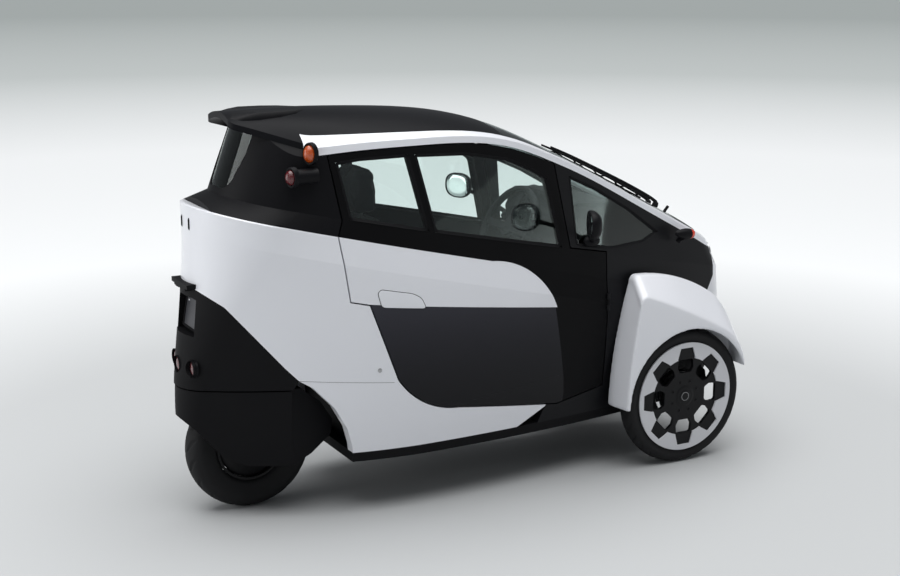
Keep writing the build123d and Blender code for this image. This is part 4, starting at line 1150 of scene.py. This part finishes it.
# what carries the front seat's cushions: rows of height, rear face and half width, and one row's outline
seatShell = {
    "rows": [(470, 466, 205), (560, 447, 205), (760, 417, 205), (930, 402, 203), (1010, 396, 172),
             (1050, 396, 130)],
    "outline": [(10, -1), (-6, -0.98), (-9, -0.7), (-9, 0.7), (-6, 0.98), (10, 1), (14, 0.96), (6, 0),
                (14, -0.96)],
    "posts": (452, 42, 1030, 1085), "postRadius": 6,
}
supports = Mesh()
ahead, out, low, high = seatShell["posts"]
for sideSign in sideName:
    supports.tube([at(ahead, sideSign * out, up) for up in (low, high)], seatShell["postRadius"], 12, 2)
supports.make("headrest_posts", bareSteel)
Mesh().rings([[at(rear + deep, across * half, up) for deep, across in seatShell["outline"]]
              for up, rear, half in seatShell["rows"]]).make(
    "front_seat_shell", trimBlack, angle=40, slotName="seat_cloth")
print("seats made")


# the studio: one floor whose colour paints the light, as places in the reach and tones: a painted shadow
# under the car near the middle, a painted pool of light in a ring round it, and painted shade that greys it
# with distance
floorFacts = {"half": 90.0, "reach": 36.0, "paintedLightTones": [
    (0.00, (0.41, 0.42, 0.425)), (0.06, (0.47, 0.48, 0.485)), (0.12, (0.77, 0.78, 0.785)),
    (0.26, (0.77, 0.78, 0.785)), (0.50, (0.47, 0.495, 0.49)), (1.00, (0.32, 0.345, 0.34))]}


def makeFloor():
    finish = Finish("studio floor")
    away = finish.node("ShaderNodeVectorMath", {"operation": "LENGTH"}, {0: finish.place()}, "Value")
    # painted shadow, painted pool of light and painted shade far off, graded into the floor's colour by
    # distance from the middle
    paintedLightGrade = finish.node("ShaderNodeValToRGB", {"stops": floorFacts["paintedLightTones"]},
                        {"Fac": away * (1 / floorFacts["reach"])}, "Color")
    finish.shade({"Base Color": paintedLightGrade, "Roughness": 0.75, "Specular IOR Level": 0.1})
    half = floorFacts["half"]
    corners = [(-half, -half, 0), (half, -half, 0), (half, half, 0), (-half, half, 0)]
    mesh = bpy.data.meshes.new("floor")
    mesh.from_pydata(corners, [], [(0, 1, 2, 3)])
    mesh.materials.append(finish.material)
    linked("studio_floor", mesh)


# area lamps have a size in metres, the top light a spread in degrees
lamps = {
    "top": {"place": (0.0, 0.0, 9.0), "aim": (0.15, 0.1, 0.0), "spread": 70.0, "power": 3.0},
    "overhead": {"place": (0.2, -0.3, 4.6), "aim": (0.0, 0.0, 0.4), "size": (6.5, 4.0), "power": 75.0},
    "left": {"place": (-6.0, -3.5, 3.4), "aim": (0.0, 0.0, 0.7), "size": (3.0, 2.4), "power": 18.0},
    "tail": {"place": (-6.5, 1.6, 2.2), "aim": (-0.3, 0.0, 0.9), "size": (4.6, 3.6), "power": 120.0},
    "front": {"place": (5.5, -4.5, 3.2), "aim": (0.2, 0.0, 0.6), "size": (2.5, 2.0), "power": 18.0},
}


def makeLamps():
    for name, facts in lamps.items():
        light = bpy.data.lights.new(name, "SUN" if "spread" in facts else "AREA")
        if "spread" in facts:
            light.angle = math.radians(facts["spread"])
        else:
            light.shape = "RECTANGLE"
            light.size, light.size_y = facts["size"]
        light.energy = facts["power"]
        lamp = linked("lamp_" + name, light)
        lamp.location = facts["place"]
        lamp.rotation_euler = (Vector(facts["aim"]) - lamp.location).to_track_quat("-Z", "Y").to_euler()


sky = {"light": (0.19, 0.20, 0.21), "backdrop": (0.36, 0.39, 0.39)}


def makeSky():
    world = bpy.data.worlds.new("studio")
    bpy.context.scene.world = world
    world.use_nodes = True
    finish = Finish("studio air", world.node_tree)
    rays = finish.node("ShaderNodeLightPath", None, {}, "Is Camera Ray")
    colour = finish.tint(rays, sky["light"], sky["backdrop"])
    back = finish.node("ShaderNodeBackground", None, {"Color": colour})
    finish.node("ShaderNodeOutputWorld", None, {"Surface": back})


cameraFacts = {"ahead": -1788.67, "across": -4935.05, "up": 2047.24, "heading": 28.088, "pitch": -13.247,
               "roll": 0.108, "lens": 59.335}


def makeCamera():
    lens = bpy.data.cameras.new("camera")
    lens.sensor_fit = "HORIZONTAL"
    lens.sensor_width = 36.0
    lens.lens = cameraFacts["lens"]
    lens.clip_end = 300.0
    camera = linked("camera", lens)
    turn = (Matrix.Rotation(math.radians(-cameraFacts["heading"]), 4, "Z")
            @ Matrix.Rotation(math.radians(90 + cameraFacts["pitch"]), 4, "X")
            @ Matrix.Rotation(math.radians(cameraFacts["roll"]), 4, "Z"))
    place = at(cameraFacts["ahead"], cameraFacts["across"], cameraFacts["up"])
    camera.matrix_world = Matrix.Translation(place) @ turn
    bpy.context.scene.camera = camera


makeFloor()
makeLamps()
makeSky()
makeCamera()
bpy.context.scene.view_settings.view_transform = "Standard"
print("stage made")
